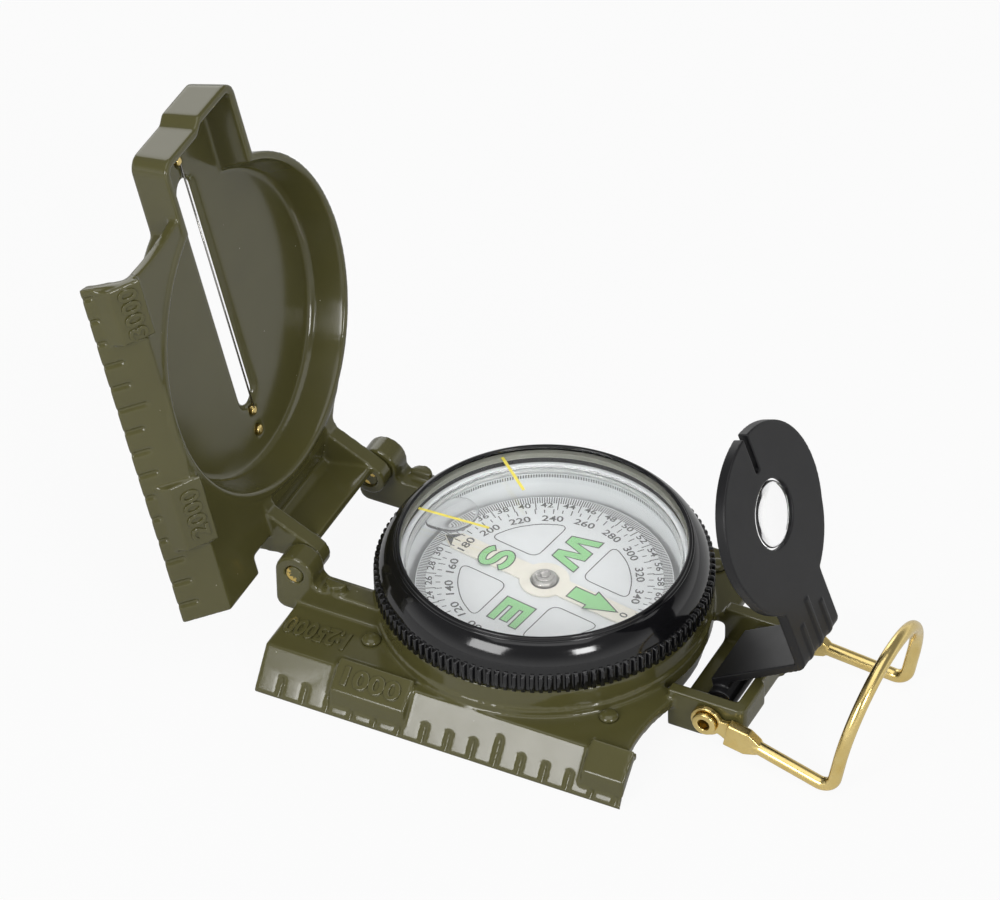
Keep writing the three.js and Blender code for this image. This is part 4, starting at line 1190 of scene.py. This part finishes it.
class COMPASS_OT_magnet_needle(bpy.types.Operator):
    """Painted magnet needle with its jewel cup"""

    bl_idname = "compass.magnet_needle"
    bl_label = "Magnet needle"

    def execute(self, context):
        size = sizes()
        side = size.needle_side
        half = size.needle_half
        spread = math.asin(side / size.hub_radius)
        steps = 16
        bend = [math.pi - spread - (math.pi - 2 * spread) * k / steps for k in range(steps + 1)]
        upper = [(size.hub_radius * math.cos(a), size.hub_radius * math.sin(a)) for a in bend]
        nose = -half + 1.25 * side
        outline = [(half, -side), (half, side)] + upper[::-1]
        outline += [(nose, side), (-half, 0), (nose, -side)]
        outline += [(u, -v) for u, v in upper]
        hole = size.cup_radius + 0.2 * MM
        count = 48
        turns = [2 * math.pi * k / count for k in range(count)]
        sketch = bmesh.new()
        ring = [sketch.verts.new((u, v, 0)) for u, v in outline]
        eye = [sketch.verts.new((hole * math.cos(angle), hole * math.sin(angle), 0)) for angle in turns]
        edges = []
        for loop in (ring, eye):
            edges += [sketch.edges.new((loop[k], loop[(k + 1) % len(loop)])) for k in range(len(loop))]
        skin = bmesh.ops.triangle_fill(sketch, edges=edges, use_beauty=True)
        skins = [f for f in skin["geom"] if isinstance(f, bmesh.types.BMFace)]
        raised = bmesh.ops.extrude_face_region(sketch, geom=skins)
        lifted = [v for v in raised["geom"] if isinstance(v, bmesh.types.BMVert)]
        bmesh.ops.translate(sketch, verts=lifted, vec=(0, 0, size.needle_depth))
        bmesh.ops.recalc_face_normals(sketch, faces=sketch.faces)
        mesh = bpy.data.meshes.new("needle")
        sketch.to_mesh(mesh)
        sketch.free()
        mesh.transform(Matrix.Rotation(size.north, 4, "Z") @ Matrix.Translation((0, 0, size.needle_low)))
        needle = added("needle", mesh)
        dress(needle, "card", "cream", "cream_paint", "magnet_needle")
        # Painted shade: a dark dart on the needle's tip stands in for the shade seen on its pointed tip
        margin = 0.1 * MM
        barb = -half + 1.3 * side
        dart = [(-half + margin, 0), (barb, side - margin), (-half + 0.9 * side, 0), (barb, margin - side)]
        aim = Matrix.Rotation(size.north, 2)
        level = size.needle_low + size.needle_depth + size.ink
        tip_painted_shade = filled("needle_tip_painted_shade", [tuple(aim @ Vector(spot)) for spot in dart], level)
        dress(tip_painted_shade, "card", "ink", "cream_paint")
        self.cup(size)
        return {"FINISHED"}

    def cup(self, size):
        """Jewel cup turned in steps, with a groove round its middle."""
        low = size.card_low
        tip = size.card_low + size.card_depth + size.needle_depth
        # Each step is a share of the cup's radius, and millimetres from its top
        steps = [(1, -0.85), (0.86, -0.62), (0.74, -0.62), (0.7, -0.3), (0.52, -0.2), (0.46, -0.42),
                 (0.36, -0.42), (0.3, -0.08), (0, 0)]
        hollow = 1.3 * MM
        gap = 0.3 * MM
        profile = [(0, tip + gap), (hollow, low), (size.cup_radius, low)]
        profile += [(size.cup_radius * share, size.cup_top + drop * MM) for share, drop in steps]
        cup = turned("cup", rounded(profile, radius=0.1 * MM, closed=False), segments=64)
        dress(cup, "card", "steel", "steel", "jewel_cup")


class COMPASS_OT_eyepiece(bpy.types.Operator):
    """Eyepiece with its ribs and sight notch, lens and axle"""

    bl_idname = "compass.eyepiece"
    bl_label = "Eyepiece"

    def execute(self, context):
        size = sizes()
        place = axle_place(size.eyepiece_angle)
        low = size.plate_top - size.plate_depth
        # The disc's edge, and the mouth that narrows to the lens; the mouth has half as many facets
        mouth = 6.6 * MM
        throat = 5.3 * MM
        walls = [
            (size.disc_centre, FACETS, (size.disc_radius, low), (size.disc_radius, size.plate_top)),
            (size.disc_centre, FACETS // 2, (mouth, low), (throat, size.plate_top - size.lens_edge)),
        ]
        drawn = solid_copy("eyepiece_frame")
        made = softened("eyepiece_moulding", drawn, place, size.moulded_grain,
                        passes=2, keep=0.5, walls=walls)
        dress(made, "eyepiece", "grained", "black_plastic", "eyepiece_frame")
        middle = size.plate_top - size.lens_crown
        steps = 12
        curve = [(size.lens_radius * k / steps,
                  size.lens_edge / 2 + (size.lens_crown - size.lens_edge / 2) * (1 - (k / steps) ** 2))
                 for k in range(steps + 1)]
        profile = [(r, middle - h) for r, h in curve] + [(r, middle + h) for r, h in reversed(curve)]
        lens = turned("lens", profile, place @ Matrix.Translation((0, size.disc_centre, 0)), segments=96)
        lens.visible_shadow = False
        dress(lens, "eyepiece", "clear", "clear_plastic", "eyepiece_lens")
        rod = rounded([(0, -size.axle_reach), (size.axle_radius, -size.axle_reach),
                       (size.axle_radius, size.axle_reach), (0, size.axle_reach)],
                      radius=0.15 * MM, closed=False)
        axle = turned("axle", rod, along_x(size.axle_y, size.axle_height), segments=32)
        dress(axle, "base", "steel", "steel", "eyepiece_axle")
        return {"FINISHED"}


class COMPASS_OT_thumb_loop(bpy.types.Operator):
    """Bent brass thumb loop with flattened eyes, and its two eyelets"""

    bl_idname = "compass.thumb_loop"
    bl_label = "Thumb loop"

    def execute(self, context):
        size = sizes()
        place = axle_place(size.loop_angle)
        mesh = bpy.data.meshes.new("loop")
        drawn = bmesh.new()
        self.wire(drawn, size)
        for side in (1, -1):
            self.eye(drawn, size, side)
        bmesh.ops.recalc_face_normals(drawn, faces=drawn.faces)
        drawn.to_mesh(mesh)
        drawn.free()
        mesh.transform(place)
        made = softened("loop_bent", mesh, place, size.wire_grain, passes=7, keep=0.6)
        dress(made, "loop", "brass", "brass", "thumb_loop")
        seat = size.eyelet_seat
        rim = seat + size.eyelet_depth
        crown = size.eyelet_head * 0.92
        outline = rounded([(size.eyelet_bore, size.eyelet_inner), (size.eyelet_barrel, size.eyelet_inner),
                           (size.eyelet_barrel, seat), (size.eyelet_head, seat),
                           (crown, rim), (size.eyelet_bore, rim)], radius=0.2 * MM)
        right = turned("eyelet_right", outline, along_x(size.axle_y, size.axle_height), segments=48)
        left = mirrored(right, "eyelet_left")
        dress(right, "base", "brass", "brass", "loop_eyelet_right")
        dress(left, "base", "brass", "brass", "loop_eyelet_left")
        return {"FINISHED"}

    def path(self, size):
        """Middle line of the left half of the wire, from its eye to the top of the arch."""
        start = size.eye_x + size.paddle_depth / 2
        spots = []
        steps = 10
        near = -size.paddle_far + 1 * MM
        run = -size.loop_reach + size.loop_bend
        for k in range(steps):
            share = k / steps
            spots.append(Vector((-start + (start - size.loop_half) * share, near + (run - near) * share, 0)))
        for k in range(steps + 1):
            angle = math.pi / 2 * k / steps
            spots.append(Vector((-size.loop_half, run - size.loop_bend * math.sin(angle),
                                 size.loop_bend * (1 - math.cos(angle)))))
        arch = 32
        for k in range(arch + 1):
            angle = math.pi - math.pi / 2 * k / arch
            spots.append(Vector((size.loop_half * math.cos(angle), -size.loop_reach,
                                 size.loop_leg + size.loop_half * math.sin(angle))))
        return spots

    def wire(self, drawn, size):
        """The round wire along its middle line, left half and right."""
        half = self.path(size)
        spots = half + [Vector((-p.x, p.y, p.z)) for p in reversed(half[:-1])]
        sides = 24
        rows = []
        across = Vector((0, 0, 1))
        for i, spot in enumerate(spots):
            ahead = (spots[min(i + 1, len(spots) - 1)] - spots[max(i - 1, 0)]).normalized()
            across = (across - ahead * across.dot(ahead)).normalized()
            other = ahead.cross(across)
            row = []
            for k in range(sides):
                angle = 2 * math.pi * k / sides
                out = across * math.cos(angle) + other * math.sin(angle)
                row.append(drawn.verts.new(spot + size.loop_wire * out))
            rows.append(row)
        skinned(drawn, rows)

    def slab(self, drawn, outline, near, far):
        """A flat piece across X: the outline is in Y and Z."""
        skinned(drawn, [[drawn.verts.new((x, y, z)) for y, z in outline] for x in (near, far)])

    def eye(self, drawn, size, side):
        """A flat eye, the tongue behind it, and the flattened wire that the tongue runs into."""
        near = side * size.eye_x
        far = side * (size.eye_x + size.eye_depth)
        count = 48
        turns = [2 * math.pi * k / count for k in range(count)]
        inner = size.eye_bore
        outer = size.eye_radius
        rows = []
        for radius, x in ((inner, near), (outer, near), (outer, far), (inner, far)):
            rows.append([drawn.verts.new((x, radius * math.cos(angle), radius * math.sin(angle)))
                         for angle in turns])
        skinned(drawn, rows + rows[:1])
        neck = size.paddle_half
        start = -inner - 0.2 * MM
        waist = 1.1 * MM
        root = -size.paddle_near - 1 * MM
        self.slab(drawn, [(start, waist), (root, neck), (root, -neck), (start, -waist)], near, far)
        head = -size.paddle_near
        blunt = 2 * MM - size.paddle_far
        tail = -size.paddle_far
        wire = size.loop_wire
        paddle = [(head, -neck), (head, neck), (blunt, neck), (tail, wire), (tail, -wire), (blunt, -neck)]
        self.slab(drawn, paddle, near, side * (size.eye_x + size.paddle_depth))


class COMPASS_OT_stage(bpy.types.Operator):
    """Pale floor, soft studio light and the camera"""

    bl_idname = "compass.stage"
    bl_label = "Stage"

    def execute(self, context):
        self.floor()
        self.world(context)
        self.lamp("side", (-0.664, 0.155, 0.41), width=0.29, power=2.3)
        self.lamp("front", (-0.42, -0.55, 0.41), width=0.17, power=1.7)
        self.lamp("top", (-0.12, -0.05, 0.85), width=0.8, power=2.3)
        self.lamp("back", (0.52, 0.52, 0.36), width=0.4, power=0.8)
        self.camera(context)
        context.scene.view_settings.view_transform = "Standard"
        return {"FINISHED"}

    def floor(self):
        """A wide pale floor that shows as near white and takes the object's shadow."""
        reach = 3
        corners = [(-reach, -reach, 0), (reach, -reach, 0), (reach, reach, 0), (-reach, reach, 0)]
        made = piece("floor", corners, [[0, 1, 2, 3]])
        # Seamless paper, lit from behind: bright where it is seen, with the object's shadow left in it
        coat = blank("pale studio paper, matt")
        tree = coat.node_tree
        ray = add_node(tree, "ShaderNodeLightPath")
        straight = add_node(tree, "ShaderNodeMath", {
            0: ray.outputs["Is Camera Ray"], 1: ray.outputs["Is Transmission Ray"]}, operation="MAXIMUM")
        # Metal and gloss show the pale floor; under a third of its white there keeps dark enamel dark
        shown = add_node(tree, "ShaderNodeMath", {
            0: ray.outputs["Is Glossy Ray"], 1: 0.3}, operation="MULTIPLY")
        seen = add_node(tree, "ShaderNodeMath", {
            0: straight.outputs[0], 1: shown.outputs[0]}, operation="MAXIMUM")
        # The rest is the paper itself, which takes the shadow
        share = add_node(tree, "ShaderNodeMath", {0: seen.outputs[0], 1: 0.93}, operation="MULTIPLY")
        paper = add_node(tree, "ShaderNodeBsdfPrincipled", {
            "Base Color": rgba(colours().floor), "Roughness": 0.9})
        glow = add_node(tree, "ShaderNodeEmission", {"Color": (1, 1, 1, 1), "Strength": 1})
        both = add_node(tree, "ShaderNodeMixShader", {
            "Fac": share.outputs[0], 1: paper.outputs["BSDF"], 2: glow.outputs["Emission"]})
        add_node(tree, "ShaderNodeOutputMaterial", {"Surface": both.outputs["Shader"]})
        made.data.materials.append(coat)

    def world(self, context):
        """White where it is seen, a soft light on the object, and a dimmer ceiling in its reflections."""
        world = bpy.data.worlds.new("studio")
        world.use_nodes = True
        tree = world.node_tree
        tree.nodes.clear()
        ray = add_node(tree, "ShaderNodeLightPath")
        straight = add_node(tree, "ShaderNodeMath", {
            0: ray.outputs["Is Camera Ray"], 1: ray.outputs["Is Transmission Ray"]}, operation="MAXIMUM")
        # Light that a matt surface gathers through glass counts as soft light
        gathered = add_node(tree, "ShaderNodeMath", {
            0: ray.outputs["Diffuse Depth"], 1: 0.5}, operation="LESS_THAN")
        seen = add_node(tree, "ShaderNodeMath", {
            0: straight.outputs[0], 1: gathered.outputs[0]}, operation="MULTIPLY")
        at = add_node(tree, "ShaderNodeTexCoord")
        rise = add_node(tree, "ShaderNodeSeparateXYZ", {"Vector": at.outputs["Generated"]})
        fade = add_node(tree, "ShaderNodeMapRange", {
            "Value": rise.outputs["Z"], "From Min": 0, "From Max": 0.5, "To Min": 1, "To Max": 0.25},
            interpolation_type="SMOOTHSTEP")
        soft = add_node(tree, "ShaderNodeBackground", {"Color": (1, 1, 1, 1), "Strength": 0.34})
        walls = add_node(tree, "ShaderNodeBackground", {"Color": (1, 1, 1, 1), "Strength": fade.outputs[0]})
        white = add_node(tree, "ShaderNodeBackground", {"Color": (1, 1, 1, 1), "Strength": 1})
        lit = add_node(tree, "ShaderNodeMixShader", {
            "Fac": ray.outputs["Is Glossy Ray"], 1: soft.outputs[0], 2: walls.outputs[0]})
        mix = add_node(tree, "ShaderNodeMixShader", {
            "Fac": seen.outputs[0], 1: lit.outputs[0], 2: white.outputs[0]})
        add_node(tree, "ShaderNodeOutputWorld", {"Surface": mix.outputs[0]})
        context.scene.world = world

    def lamp(self, name, spot, width, power):
        """A square soft lamp that points at the object; metres and watts."""
        light = bpy.data.lights.new(name, "AREA")
        light.shape = "SQUARE"
        light.size = width
        light.energy = power
        made = added(name, light)
        made.location = spot
        made.rotation_euler = (-Vector(spot)).to_track_quat("-Z", "Y").to_euler()

    def camera(self, context):
        """The camera, shifted to frame the open compass; its distance and shifts are in millimetres."""
        azimuth = math.radians(-62.9)
        height = math.radians(40.36)
        roll = math.radians(-1.1)
        distance = 1209.6
        shift_left = 6.85
        shift_up = 27.06
        aim = Vector((0, 0, 1.2 * MM))
        flat = math.cos(height)
        back = Vector((math.sin(azimuth) * flat, -math.cos(azimuth) * flat, math.sin(height)))
        level = Vector((math.cos(azimuth), math.sin(azimuth), 0))
        above = back.cross(level)
        right = level * math.cos(roll) + above * math.sin(roll)
        up = above * math.cos(roll) - level * math.sin(roll)
        spot = back * distance * MM - right * shift_left * MM + up * shift_up * MM + aim
        lens = bpy.data.cameras.new("camera")
        lens.lens = 288
        lens.sensor_fit = "HORIZONTAL"
        lens.sensor_width = 36
        lens.clip_end = 20
        made = added("camera", lens)
        made.matrix_world = Matrix((
            (right.x, up.x, back.x, spot.x), (right.y, up.y, back.y, spot.y), (right.z, up.z, back.z, spot.z),
            (0, 0, 0, 1)))
        context.scene.camera = made


OPERATORS = (
    COMPASS_OT_base_casting,
    COMPASS_OT_deck_rivets,
    COMPASS_OT_hinge_pins,
    COMPASS_OT_cover_casting,
    COMPASS_OT_sight_wire,
    COMPASS_OT_bezel,
    COMPASS_OT_capsule,
    COMPASS_OT_dial_card,
    COMPASS_OT_magnet_needle,
    COMPASS_OT_eyepiece,
    COMPASS_OT_thumb_loop,
    COMPASS_OT_stage,
)


class COMPASS_PT_pieces(bpy.types.Panel):
    """Pieces of the compass"""

    bl_label = "Compass"
    bl_idname = "COMPASS_PT_pieces"
    bl_space_type = "VIEW_3D"
    bl_region_type = "UI"
    bl_category = "Compass"

    def draw(self, context):
        for maker in OPERATORS:
            self.layout.operator(maker.bl_idname)


CLASSES = (CompassSizes, CompassColours, *OPERATORS, COMPASS_PT_pieces)


def register():
    for kind in CLASSES:
        bpy.utils.register_class(kind)
    bpy.types.Scene.compass_sizes = bpy.props.PointerProperty(type=CompassSizes)
    bpy.types.Scene.compass_colours = bpy.props.PointerProperty(type=CompassColours)


def unregister():
    del bpy.types.Scene.compass_colours
    del bpy.types.Scene.compass_sizes
    for kind in reversed(CLASSES):
        bpy.utils.unregister_class(kind)


def main():
    register()
    for maker in OPERATORS:
        group, name = maker.bl_idname.split(".")
        getattr(getattr(bpy.ops, group), name)()


if __name__ == "__main__":
    main()
